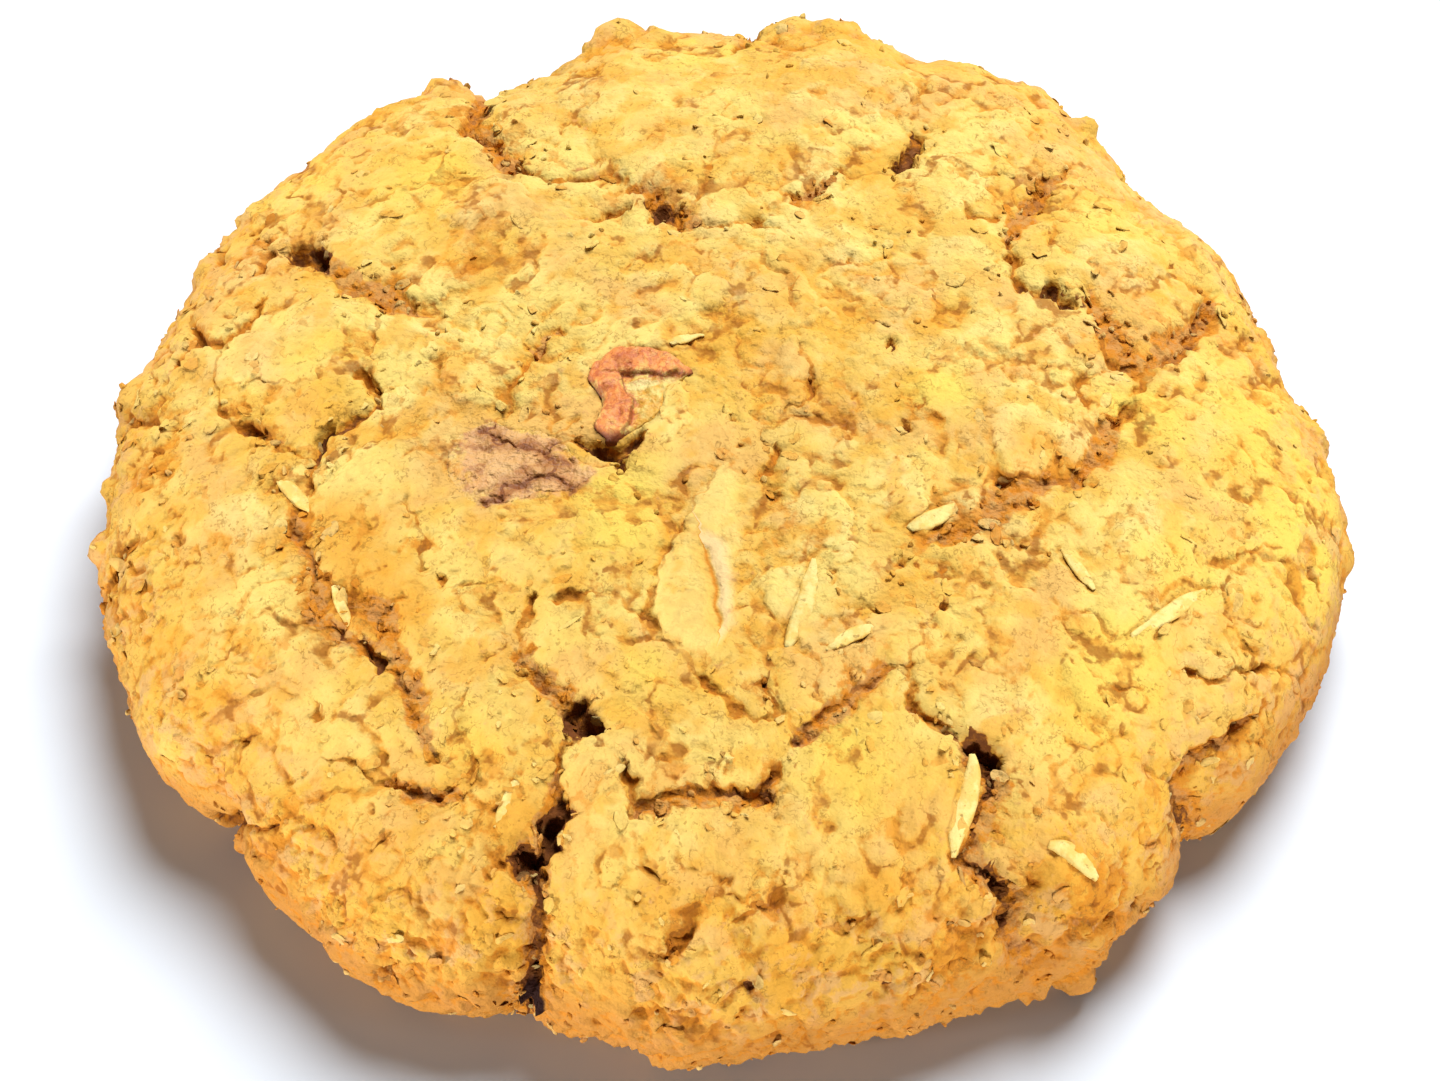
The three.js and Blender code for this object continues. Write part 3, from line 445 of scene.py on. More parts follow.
def draw_together(place, point):
    """Moves the places of the mesh towards the lips of the cracks, so that they lie closest there."""
    torn = ragged(place, point)
    best = np.full(len(place), LIP_REACH)
    shift = np.zeros_like(place)
    for _, route in CRACKS:
        index = near_route(torn, route, 2 * LIP_REACH)
        across, half, nearest = along_route(torn[index], route)
        lip = np.abs(across) - half
        closer = np.abs(lip) < best[index]
        index, across, lip, nearest = index[closer], across[closer], lip[closer], nearest[closer]
        best[index] = np.abs(lip)
        move = lip * ((np.abs(lip) / LIP_REACH) ** LIP_PULL - 1)
        away = np.maximum(np.abs(across), 0.05)
        shift[index] = (torn[index] - nearest) * (move / away)[:, None]
    return place + shift


def cut_cracks(torn, point):
    """Depth of the cracks in mm, the way to the nearest break, and the marks for their colours."""
    count = len(torn)
    depth, depth_shade, floor = np.zeros(count), np.zeros(count), np.zeros(count)
    lip, across = np.full(count, MARK_REACH), np.full(count, MARK_REACH)
    half_there, to_break = np.full(count, 0.1), np.full(count, FAR)
    bridged = np.clip(0.66 + 1.2 * swells(point, 2.4, 9, 2), 0.1, 1.1)
    width = 1.0 + 0.5 * swells(point, 1.7, 8, 2)

    for deep, route in CRACKS:
        index = near_route(torn, route, CRACK_REACH)
        signed, half, _ = along_route(torn[index], route)
        half = half * width[index]
        away = np.abs(signed)
        open_share = bridged[index] if deep < DEEP_CRACK else 0.5 + 0.5 * bridged[index]
        cut = np.minimum(deep, 0.3 + 3.5 * half) * open_share * (0.75 if deep < DEEP_CRACK else 0.85)
        depth[index] = np.maximum(depth[index], cut * (1 - ramp(away, 0.4 * half, half + 0.22)))
        closer = away - half < lip[index]
        chosen = index[closer]
        lip[chosen] = (away - half)[closer]
        across[chosen] = signed[closer]
        half_there[chosen] = half[closer]
        # the painted shade in the crack, the darker the deeper it is
        depth_shade[chosen] = np.clip(deep * open_share[closer] / 1.9, 0, 1)
        if deep >= BREAK_DEPTH:
            to_break[index] = np.minimum(to_break[index], np.maximum(away - half, 0))

    for deep, route in TROUGHS:
        index = near_route(torn, route, TROUGH_REACH)
        signed, half, _ = along_route(torn[index], route)
        share = np.abs(signed) / (half * width[index])
        dip = 1 - ramp(share, 0.35, 1.25)
        depth[index] = np.maximum(depth[index], 0.45 * deep * dip + 0.6 * depth[index])
        floor[index] = np.maximum(floor[index], 1 - ramp(share, 0.4, 1.3))
        to_break[index] = np.minimum(to_break[index], np.maximum(np.abs(signed) - half, 0))

    for x, y, radius in PITS:
        away = away_from(torn, x, y)
        depth = np.maximum(depth, 2.4 * radius * (1 - ramp(away / radius, 0.3, 1.3)))
        closer = away - 0.9 * radius < lip
        lip[closer] = (away - 0.9 * radius)[closer]
        across[closer] = away[closer]
        half_there[closer] = 0.9 * radius
        # the painted shade in the pit, the darker the larger it is
        depth_shade[closer] = np.clip(2.2 * radius, 0, 1)

    across = np.clip(across, -MARK_REACH, MARK_REACH)
    marks = {"lip": lip, "across": across, "half": half_there, "depth_shade": depth_shade, "floor": floor}
    return depth, to_break, marks


def round_spots(torn, spots):
    """For each spot its strength at the places, which fades past its radius."""
    for x, y, radius, strength in spots:
        yield strength * np.exp(-((away_from(torn, x, y) / radius) ** 2))


# Oats that show whole: centre, length, width, direction of the length, rise, and tilt across
LARGE_OATS = [
    (27.5, -19.5, 10.0, 6.5, 15, 0.25, -0.06),
    (-21.5, -6.0, 9.0, 6.0, 60, 0.2, 0.06),
    (30.5, 0.5, 10.0, 7.0, 100, 0.2, 0.05),
    (8.0, 29.0, 11.0, 6.5, 20, 0.25, 0.05),
    (-12.0, 29.0, 9.0, 6.0, 150, 0.25, 0.05),
    (-28.0, 6.6, 9.0, 6.5, 20, 0.2, 0.03),
]
OAT_SPACING = 3.9
OATS_SEED = 20
SCATTER_TRIES = 9000


def scattered_places(spacing, reach, seed):
    """Places on the map out to a reach, no two closer than the spacing."""
    chance = np.random.default_rng(seed)
    chosen = []
    for _ in range(SCATTER_TRIES):
        angle = chance.uniform(0, 2 * math.pi)
        away = reach * math.sqrt(chance.uniform())
        place = np.array([away * math.cos(angle), away * math.sin(angle)])
        if all(np.sum((place - other) ** 2) > spacing**2 for other in chosen):
            chosen.append(place)
    return chosen


def oats_in_the_skin():
    """All oats of the skin, the random ones first, as the tuples of LARGE_OATS."""
    chance = np.random.default_rng(OATS_SEED)
    oats = []
    for x, y in scattered_places(OAT_SPACING, FOOT_REACH - 2, OATS_SEED):
        length, width = chance.uniform(5.5, 9.5), chance.uniform(4, 6)
        turn, rise, tilt = chance.uniform(0, 180), chance.uniform(-0.2, 0.25), chance.uniform(-0.1, 0.1)
        oats.append((x, y, length, width, turn, rise, tilt))
    return oats + LARGE_OATS


SKIN_OATS = oats_in_the_skin()


def lay_oats(torn, height, point):
    """Lays the oats on the relief. Gives the height, their paleness and the distance to an edge."""
    pale = np.zeros(len(torn))
    ledge = np.full(len(torn), 1.0)
    wobble = 0.16 * swells(point, 2.4, 31, 2)
    ground = height.copy()
    for number, (x, y, length, width, turn, rise, tilt) in enumerate(SKIN_OATS):
        index = np.flatnonzero(away_from(torn, x, y) < length * 0.75)
        cos, sin = math.cos(math.radians(turn)), math.sin(math.radians(turn))
        east, north = torn[index, 0] - x, torn[index, 1] - y
        u = (east * cos + north * sin) / (length / 2)
        v = (north * cos - east * sin) / (width / 2)
        edge = np.hypot(u, v) + wobble[index]
        from_edge = (edge - 1) * width / 2
        face = ground[index] + rise + tilt * (v * width + u * length) / 2 - 0.1 * edge**4
        step = ramp(face - height[index], 0.03, 0.3)
        proud = ramp(face - height[index], 0.0, 0.1) * (1 - ramp(from_edge, -0.15, 0.05))
        outside = from_edge > 0
        line = np.abs(from_edge) + (1 - step)
        ledge[index] = np.where(outside, np.minimum(ledge[index], line), ledge[index])
        ledge[index] = ledge[index] * (1 - proud) + np.minimum(line, 1) * proud
        height[index] += (face - height[index]) * proud
        tone = 0.35 + 0.65 * ((number * 0.618) % 1)
        pale[index] = pale[index] * (1 - proud) + tone * proud
    return height, pale, ledge


# What lies in the crust: the middle of each, and its outline on the map. The petal is the one
# large oat in front of the crown, with a crease along it.
CHOCOLATE_AT = (-12.1, -4.3)
CHOCOLATE_OUTLINE = [
    (-9.4, -3.7), (-10.1, -2.4), (-11.6, -1.9), (-13.1, -1.7), (-14.2, -0.8), (-16.2, -2.1),
    (-17.1, -4.8), (-15.0, -7.8), (-13.7, -7.8), (-11.5, -6.8), (-10.1, -7.0), (-8.5, -6.1),
    (-7.8, -5.3),
]  # fmt: skip
PECAN_AT = (-5.7, 1.5)
PECAN_OUTLINE = [
    (-1.4, 2.1), (-1.9, 2.7), (-2.9, 3.8), (-3.9, 4.4), (-5.1, 4.8), (-6.3, 5.0), (-7.0, 4.8),
    (-7.8, 4.0), (-8.4, 3.2), (-8.6, 2.4), (-8.0, 1.7), (-7.6, 0.8), (-7.5, 0.0), (-7.8, -0.8),
    (-7.9, -1.5), (-7.6, -2.3), (-7.0, -2.8), (-6.2, -2.7), (-5.4, -2.3), (-4.6, -1.9), (-3.7, -1.3),
    (-3.3, -0.4), (-3.4, 0.5), (-3.0, 1.3),
]  # fmt: skip
PETAL_AT = (-1.1, -12.5)
PETAL_OUTLINE = [
    (0.3, -4.6), (-0.7, -5.8), (-1.5, -7.4), (-2.3, -10.1), (-3.1, -11.8), (-4.0, -13.8), (-4.3, -15.6),
    (-3.8, -17.2), (-2.8, -18.3), (-1.3, -18.9), (0.1, -18.5), (1.0, -17.6), (1.3, -15.0), (1.2, -12.0),
    (1.7, -9.7), (2.2, -7.4), (1.7, -5.4),
]  # fmt: skip
PETAL_CREASE = [(-0.8, -11.5, 0.1), (-0.3, -13.4, 0.1), (0.0, -15.2, 0.1), (0.0, -17.0, 0.1)]
PETAL_RISE = 0.35
PETAL_CREASE_DEPTH = 0.3

# Slivers of oat that stand on edge: places on the map with the half width there
SLIVERS = [
    [(15.7, -25.0, 0.21), (15.9, -26.6, 0.53), (15.6, -29.0, 0.68), (15.1, -31.0, 0.53),
     (15.0, -32.3, 0.15)],
    [(6.1, -12.0, 0.17), (5.9, -13.6, 0.57), (5.5, -15.8, 0.68), (4.8, -17.8, 0.51), (4.4, -18.9, 0.17)],
    [(6.8, -19.0, 0.15), (7.6, -18.4, 0.42), (8.8, -17.6, 0.47), (10.0, -17.0, 0.21)],
    [(15.1, -7.5, 0.14), (14.4, -8.3, 0.58), (13.4, -9.2, 0.62), (12.6, -9.9, 0.29)],
    [(21.8, -10.3, 0.11), (22.5, -11.2, 0.39), (23.4, -12.4, 0.44), (23.9, -13.2, 0.14)],
    [(31.1, -11.8, 0.2), (29.9, -13.0, 0.5), (28.0, -14.9, 0.48), (26.5, -16.4, 0.16)],
    [(-28.0, -3.7, 0.19), (-27.2, -4.6, 0.51), (-26.4, -5.8, 0.46), (-25.5, -7.0, 0.19)],
    [(-24.2, -12.8, 0.16), (-24.0, -13.8, 0.32), (-23.8, -15.0, 0.32), (-23.8, -16.0, 0.16)],
    [(20.4, -30.2, 0.25), (21.4, -30.4, 0.6), (22.7, -31.1, 0.6), (23.9, -32.0, 0.25)],
    [(-12.4, -27.2, 0.19), (-13.0, -28.2, 0.46), (-13.6, -29.6, 0.32), (-14.0, -30.4, 0.14)],
    [(-3.0, 4.6, 0.14), (-2.6, 5.2, 0.39), (-1.8, 5.6, 0.3), (-0.9, 5.6, 0.1)],
]  # fmt: skip


def outline_share(place, middle, outline):
    """Distance from the middle of a piece, as a share of the way to its outline there."""
    corners = np.array(outline) - middle
    spokes = place - middle
    corner_angles = np.arctan2(corners[:, 1], corners[:, 0])
    angles = np.arctan2(spokes[:, 1], spokes[:, 0])
    radius = np.interp(angles, corner_angles, away_from(corners), period=2 * math.pi)
    return away_from(spokes) / radius


def press_petal(place, torn, point, height):
    """Lays the large oat in the relief: sharp at its left, lost in the dough at its right."""
    torn = 0.6 * place + 0.4 * torn
    share = outline_share(torn, PETAL_AT, PETAL_OUTLINE)
    lost = ramp(torn[:, 0] + 0.6 * swells(point, 2.0, 80), 0.2, 2.0)
    petal = (1 - ramp(share, 0.93, 1.0)) * (1 - lost)
    crease = -along_route(torn, PETAL_CREASE)[0]
    face = lie_of_crust(point) + PETAL_RISE * (1 - share**4) + 0.08 * swells(point, 2.5, 81, 2)
    roll = 0.12 * np.exp(-(((crease - 0.7) / 0.5) ** 2))
    face -= PETAL_CREASE_DEPTH * np.exp(-((crease / 0.25) ** 2)) - roll
    return height + (face - height) * petal, petal, np.clip(crease, -MARK_REACH, MARK_REACH)


FURROW_DEPTH = 0.16
FURROW_REACH = 0.35  # past the side of the sliver
SHADOW_LINE_WIDTH = 0.16


def furrows_at_slivers(place):
    """How far the crust falls beside the slivers, on the shaded side, and a mark for a painted shadow line
    there.
    """
    fall, sliver_shadow = np.zeros(len(place)), np.zeros(len(place))
    for route in SLIVERS:
        index = near_route(place, route, 2)
        across, half, _ = along_route(place[index], route)
        shaded = across > 0
        beside = np.abs(across) / (half + FURROW_REACH)
        furrow = np.where(shaded, FURROW_DEPTH, 0.0) * (1 - ramp(beside, 0.7, 1.2))
        fall[index] = np.maximum(fall[index], furrow)
        line = np.exp(-(((np.abs(across) - half - SHADOW_LINE_WIDTH / 2) / SHADOW_LINE_WIDTH) ** 2))
        sliver_shadow[index] = np.maximum(sliver_shadow[index], line * np.where(shaded, 0.8, 0.0))
    return fall, sliver_shadow


# Knobs of dough that stand out: place on the map, radius, and rise
KNOBS = [
    (-7.4, 39.2, 2.3, 1.2), (-4.2, 38.6, 1.4, 0.5), (4.6, 39.6, 2.2, 0.6), (8.4, 39.0, 2.2, 0.5),
    (17.0, 36.0, 2.6, 0.6), (25.8, 31.0, 1.4, 0.9), (-19.5, 34.5, 1.8, 0.8), (-36.6, 20.5, 2.0, 0.6),
    (-41.5, 8.5, 1.8, 0.6), (-43.2, -3.6, 1.5, 0.8), (-42.6, 0.8, 1.2, 0.6), (28.4, -41.0, 1.6, 1.2),
    (25.0, -42.5, 1.4, 0.7), (44.2, -3.8, 2.0, 0.6), (42.5, 6.0, 1.8, 0.6), (40.0, 14.0, 1.6, 0.5),
    (-38.0, -29.5, 1.6, 0.7),
]  # fmt: skip

# A chip of dark chocolate that shows in the front left cleft, near the foot
CHIP_AT = (-13.5, -43.6)
CHIP_RADIUS = 1.05
CHIP_RISE = 1.3

# Size and height of what roughens the crust
LARGE_LUMPS, SMALL_LUMPS, LUMP_CREASE = 5.5, 2.3, 0.28
FLAKE_SIZE, FLAKE_STEP = 6.5, 0.28
SCALE_SIZE, SCALE_STEP = 2.6, 0.1
CLOD_SIZE, CLOD_HEIGHT = 2.1, 1.1
WRINKLE_SIZE, WRINKLE_HEIGHT = 1.1, 0.28
GRIT_SIZE, GRIT_HEIGHT = 0.9, 0.5

# Where the top turns into the side, and the side into its foot, by the way from the crown
SIDE_FROM, SIDE_TO = 31, 44
FOOT_FROM, FOOT_TO = 39, 50
FOOT_FADE = 3  # the relief fades out over the last of the map


def lie_of_crust(point):
    """Height in mm of the broad swells of the crust, without oats, cracks and crumbs."""
    return 0.5 * swells(point, 13, 40) + 0.3 * swells(point, 6, 41)


def shingles(point, size, seed):
    """Overlapping flakes of skin: a saw-toothed height of 0 to 1, and how near its steps are."""
    climb = 3 * swells(point, size, seed, 2) + 0.8 * swells(point, 0.35 * size, seed + 3)
    share = climb - np.floor(climb)
    return ramp(share, 0.84, 1.0) - share + 0.5, np.abs(share - 0.84)


def crust_relief(place):
    """Height in mm over the smooth crust, with the marks that its colours follow."""
    point = smooth_crust(place)
    torn = ragged(place, point)
    from_crown = away_from(place)
    side = ramp(from_crown, SIDE_FROM, SIDE_TO)
    depth, to_break, marks = cut_cracks(torn, point)
    brown = np.max(list(round_spots(torn, BROWNED)), axis=0)

    # plates that sag towards their breaks, with oats in their skin
    height = lie_of_crust(point)
    height -= 0.15 * np.exp(-to_break / 0.4) + 0.25 * np.exp(-to_break / 2.2)
    height, pale, ledge = lay_oats(torn, height, point)

    # creases between large and small lumps, deeper where the crust is crumbly
    front = ramp(-place[:, 1], 28, 42)
    crumbly = 0.12 + 0.7 * swells(point, 7, 51, 2) + 0.3 * side + 0.6 * front + 1.3 * brown
    crumbly = np.clip(crumbly, 0.05, 1.6) * (1 - 0.6 * pale)
    large = creases(point, LARGE_LUMPS, 85) + 3 * (1 - ramp(swells(point, 6, 96, 2), -0.25, 0.15))
    small = creases(point, SMALL_LUMPS, 91) + 3 * (1 - ramp(swells(point, 4, 97, 2), -0.05, 0.25))
    height -= LUMP_CREASE * np.exp(-large / 0.3) + (0.08 + 0.18 * crumbly) * np.exp(-small / 0.2)

    # flakes of skin that overlap
    flaky = np.clip(0.5 + 1.2 * swells(point, 9, 54), 0.1, 1)
    steps, to_step = shingles(point, FLAKE_SIZE, 62)
    height += FLAKE_STEP * flaky * steps
    height += SCALE_STEP * shingles(point, SCALE_SIZE, 66)[0]
    web = np.minimum(np.minimum(large, small + 0.05), 2.2 * to_step + 0.08 + 2 * (1 - flaky))

    # clods, then ever finer wrinkles
    clods, _ = crumb_cells(point, CLOD_SIZE, 58)
    height += CLOD_HEIGHT * np.maximum(crumbly - 0.6, 0) * (0.45 - clods)
    height += 0.15 * crumbly * (np.abs(swells(point, 2.4, 52)) - 0.25)
    height += WRINKLE_HEIGHT * (0.16 + crumbly) * (np.abs(swells(point, WRINKLE_SIZE, 53)) - 0.25)
    height += 0.2 * crumbly * swells(point, 0.7, 50)

    # the cracks, shallower over the chocolate, with grit on their floor
    grit, _ = crumb_cells(point, GRIT_SIZE, 57)
    cocoa = 1 - ramp(outline_share(torn, CHOCOLATE_AT, CHOCOLATE_OUTLINE), 0.75, 1.25)
    cocoa *= ramp(torn[:, 0], -17.4, -15.4)
    height -= depth * (1 - 0.5 * cocoa)
    gritty = np.maximum(1.3 * marks["floor"], (0.35 + 0.45 * front) * crumbly)
    height += GRIT_HEIGHT * (0.5 - grit) * gritty

    # what lies in the crust or stands out of it
    height, petal, crease = press_petal(place, torn, point, height)
    for x, y, radius, rise in KNOBS:
        height += rise * (1 - ramp(away_from(torn, x, y) / radius, 0.3, 1.1))
    from_chip = away_from(place, *CHIP_AT) / CHIP_RADIUS
    height += CHIP_RISE * np.sqrt(np.clip(1 - from_chip**2, 0, 1))
    fall, sliver_shadow = furrows_at_slivers(place)
    height -= fall
    height *= ramp(FOOT_REACH - from_crown, 0, FOOT_FADE)

    crumbs = 0.6 * crumbly + marks["floor"] + np.exp(-to_break / 1.5) - petal - cocoa
    marks |= {
        "ledge": ledge,
        "brown": brown,
        "warmth": np.clip(sum(round_spots(torn, TINTS)), -1, 1),
        "shoulder": np.exp(-to_break / 0.6),
        "pale": pale,
        "side": side,
        # painted shade: the glaze is turned orange towards the front
        "front": ramp(-place[:, 1], 8, 34),
        # towards the foot the glaze is browner, partly baked brown and partly painted shade
        "foot": ramp(from_crown, FOOT_FROM, FOOT_TO),
        "cocoa": cocoa,
        "chip": 1 - ramp(from_chip, 0.8, 1.1),
        "petal": petal,
        "web": np.clip(web, 0, 2),
        "crumbs": np.clip(crumbs, 0, 1.5),
        "crease": crease,
        "sliver_shadow": sliver_shadow,
    }
    return height, marks


RING_STEP = 0.3
RINGS_THAT_WIDEN = 148  # rings that each add six vertices; the rest keep their number
FOOT_RINGS = [(444, 34.0), (222, 30.0), (111, 22.0), (37, 12.0), (12, 4.0)]  # count, radius
FOOT_MARKS = {
    "side": 1, "foot": 1, "ledge": 1, "web": 2,
    "lip": MARK_REACH, "across": MARK_REACH, "crease": MARK_REACH,
}  # fmt: skip
CHOCOLATE_HOLLOW = 1.3  # how deep the crust is pressed in under each piece
PECAN_HOLLOW = 0.9


def ring_of(count, radius):
    turn = 2 * math.pi * np.arange(count) / count
    return np.stack([radius * np.cos(turn), radius * np.sin(turn)], axis=1)


def zip_rings(inner, outer):
    """Triangles that join two closed rings of vertex numbers, whatever their counts."""
    if len(inner) == 1:
        return [(inner[0], a, b) for a, b in zip(outer, outer[1:] + outer[:1])]
    faces = []
    i = o = 0
    while i < len(inner) or o < len(outer):
        a, b = inner[i % len(inner)], outer[o % len(outer)]
        if o < len(outer) and (i >= len(inner) or (o + 1) * len(inner) <= (i + 1) * len(outer)):
            faces.append((a, b, outer[(o + 1) % len(outer)]))
            o += 1
        else:
            faces.append((a, b, inner[(i + 1) % len(inner)]))
            i += 1
    return faces


def disc_of_rings(counts, reach):
    """A flat disc of evenly spaced rings round a middle point: its places, its faces and its rim."""
    places, faces, rim = [np.zeros((1, 2))], [], [0]
    for k, count in enumerate(counts, start=1):
        places.append(ring_of(count, reach * k / len(counts)))
        outer = list(range(rim[-1] + 1, rim[-1] + 1 + count))
        faces += zip_rings(rim, outer)
        rim = outer
    return np.concatenate(places), faces, rim


def mesh_piece(name, points, faces, marks):
    """A piece from points in mm and its faces, with its marks as attributes of its points."""
    mesh = bpy.data.meshes.new(name)
    mesh.from_pydata((np.asarray(points) * MM).tolist(), [], faces)
    mesh.shade_smooth()
    for mark, values in marks.items():
        attribute = mesh.attributes.new(mark, "FLOAT", "POINT")
        attribute.data.foreach_set("value", np.asarray(values, np.float32))
    piece = bpy.data.objects.new(name, mesh)
    bpy.context.scene.collection.objects.link(piece)
    return piece


def crumble(points, amount):
    """Shifts the points every way by noise, more where the amount is more, so no wall is smooth."""
    shift = [swells(points, 1.5, seed, octaves=2) for seed in (70, 73, 76)]
    return points + np.stack(shift, axis=1) * np.asarray(amount)[..., None]


def crumbling(marks):
    """How far in mm the crust is shifted so: a little everywhere, more inside the cracks."""
    return 0.12 + 0.25 * (1 - ramp(marks["lip"], -0.2, 0.3))


def blurred(values, faces, times):
    """The values of the points, each averaged so many times with its neighbours."""
    corners = np.array(faces)
    a = corners[:, (0, 1, 2)].ravel()
    b = corners[:, (1, 2, 0)].ravel()
    count = len(values)
    neighbours = np.bincount(a, minlength=count) + np.bincount(b, minlength=count)
    for _ in range(times):
        total = np.bincount(a, values[b], count) + np.bincount(b, values[a], count)
        values = (values + total / neighbours) / 2
    return values


def sunk(height, faces, times, depth):
    """How far each point lies below the average round it, as a share of the depth, -1 to 1."""
    return np.clip((blurred(height, faces, times) - height) / depth, -1, 1)


def bake_crust():
    rings = round(FOOT_REACH / RING_STEP)
    counts = [6 * min(k, RINGS_THAT_WIDEN) for k in range(1, rings + 1)]
    place, faces, rim = disc_of_rings(counts, FOOT_REACH)
    drawn = draw_together(place, smooth_crust(place))
    drawn[rim] = place[rim]
    height, marks = crust_relief(drawn)
    # How far each point lies below its neighbours, at three sizes. The colours paint shade from these into
    # the grain, the pits and the hollows.
    marks["grain"] = sunk(height, faces, 5, 0.08)
    marks["pit"] = sunk(height, faces, 20, 0.22)
    marks["hollow"] = sunk(height, faces, 120, 0.5)
    in_chocolate = outline_share(drawn, CHOCOLATE_AT, CHOCOLATE_OUTLINE)
    height -= CHOCOLATE_HOLLOW * (1 - ramp(in_chocolate, 0.82, 0.97))
    height -= PECAN_HOLLOW * (1 - ramp(outline_share(drawn, PECAN_AT, PECAN_OUTLINE), 0.8, 0.97))
    points = smooth_crust(drawn) + crust_normal(drawn) * height[:, None]
    points = crumble(points, crumbling(marks))
    points[rim] = smooth_crust(place[rim])
    points[:, 2] = np.maximum(points[:, 2], 0)

    # the flat foot
    shells = [points]
    for count, radius in FOOT_RINGS:
        shells.append(np.column_stack([ring_of(count, radius), np.zeros(count)]))
        inner, rim = rim, list(range(rim[-1] + 1, rim[-1] + 1 + count))
        faces += zip_rings(inner, rim)
    faces += [(rim[0], b, a) for a, b in zip(rim[1:], rim[2:])]
    under = rim[-1] + 1 - len(points)
    for mark, values in marks.items():
        marks[mark] = np.append(values, np.full(under, FOOT_MARKS.get(mark, 0.0)))
    return mesh_piece("crust", np.concatenate(shells), faces, marks)


class Wire:
    """A socket of a node tree. Arithmetic on it adds Math nodes to the tree."""

    def __init__(self, tree, socket):
        self.tree, self.socket = tree, socket

    def math(self, operation, *others):
        sockets = dict(enumerate((self, *others)))
        return add_node(self.tree, "ShaderNodeMath", {"operation": operation}, sockets)

    def __add__(self, other):
        return self.math("ADD", other)

    __radd__ = __add__

    def __sub__(self, other):
        return self.math("SUBTRACT", other)

    def __rsub__(self, other):
        return add_node(self.tree, "ShaderNodeMath", {"operation": "SUBTRACT"}, {0: other, 1: self})

    def __mul__(self, other):
        return self.math("MULTIPLY", other)

    __rmul__ = __mul__

    def band(self, start, end):
        """0 where the value is below start, 1 above end, eased between."""
        sockets = {0: self, 1: start, 2: end}
        return add_node(self.tree, "ShaderNodeMapRange", {"interpolation_type": "SMOOTHSTEP"}, sockets)

    def line(self, value, width):
        """1 where it equals the value, fading to 0 at the width to either side."""
        return (self - value).math("ABSOLUTE").band(width, 0.0)


def add_node(tree, kind, settings=None, sockets=None, output=0):
    """Adds a node: first its settings, then the values or links of its sockets."""
    node = tree.nodes.new(kind)
    for name, value in (settings or {}).items():
        setattr(node, name, value)
    for key, value in (sockets or {}).items():
        if isinstance(value, Wire):
            tree.links.new(value.socket, node.inputs[key])
        else:
            node.inputs[key].default_value = value
    return Wire(tree, node.outputs[output]) if node.outputs else None


class Finish:
    """A material under construction, with the few patterns that baked food needs."""

    def __init__(self, name):
        self.material = bpy.data.materials.new(name)
        self.material.use_nodes = True
        self.tree = self.material.node_tree
        self.tree.nodes.clear()
        self.place = add_node(self.tree, "ShaderNodeTexCoord", output="Object")

    def mark(self, name):
        return add_node(self.tree, "ShaderNodeAttribute", {"attribute_name": name}, output="Fac")

    def noise(self, size, detail, seed, rough=0.5):
        """Noise about 0.5, in lumps of the given size in mm. No two seeds give like patterns."""
        moved = {0: self.place, 1: (seed * 0.013, seed * 0.007, seed * 0.019)}
        place = add_node(self.tree, "ShaderNodeVectorMath", {"operation": "ADD"}, moved)
        sockets = {"Vector": place, "Scale": 1 / (size * MM), "Detail": detail, "Roughness": rough}
        return add_node(self.tree, "ShaderNodeTexNoise", {}, sockets, "Fac")

    def mix(self, share, first, second):
        """A colour between two colours, each a tuple or a wire."""
        first, second = (c if isinstance(c, Wire) else (*c, 1) for c in (first, second))
        sockets = {0: share, 6: first, 7: second}
        return add_node(self.tree, "ShaderNodeMix", {"data_type": "RGBA"}, sockets, 2)

    def layered(self, colour, *layers):
        """A colour with others laid over it in turn, each given with its share at every point."""
        for tint, share in layers:
            colour = self.mix(share, colour, tint)
        return colour

    def bump(self, height, depth, strength):
        """A normal from a height pattern whose full range is the given depth in mm."""
        sockets = {"Height": height, "Distance": depth * MM, "Strength": strength}
        return add_node(self.tree, "ShaderNodeBump", {}, sockets)

    def surface(self, **sockets):
        """Ends the material with a Principled shader."""
        named = {name.replace("_", " "): value for name, value in sockets.items()}
        shader = add_node(self.tree, "ShaderNodeBsdfPrincipled", {}, named)
        add_node(self.tree, "ShaderNodeOutputMaterial", {}, {"Surface": shader})
        return self.material


# Colours of the crust and of what shows in it
GOLD = (0.51, 0.31, 0.056)
LIGHT_GOLD = (0.55, 0.41, 0.11)
ORANGE_GOLD = (0.50, 0.25, 0.026)
DUSTY = (0.50, 0.285, 0.08)
YELLOW_GOLD = (0.56, 0.405, 0.07)
DEEP_ORANGE = (0.49, 0.22, 0.02)
TOASTED = (0.42, 0.145, 0.009)
BURNT = (0.17, 0.045, 0.004)
BRAN = (0.17, 0.083, 0.012)
OAT_CREAM = (0.57, 0.46, 0.17)
OAT_PAINTED_HIGHLIGHT = (0.56, 0.40, 0.21)
OAT_FACE = (0.57, 0.44, 0.135)
CRUMB = (0.38, 0.185, 0.055)
CRUMB_AND_DEPTH_SHADE = (0.10, 0.031, 0.008)
FOOT_BROWN_AND_SHADE = (0.36, 0.145, 0.026)
ROSY = (0.46, 0.26, 0.11)
COCOA_TAN = (0.47, 0.25, 0.10)
COCOA_BROWN = (0.25, 0.085, 0.018)
COCOA_DARK = (0.13, 0.032, 0.004)
DARK_CHIP = (0.02, 0.006, 0.004)


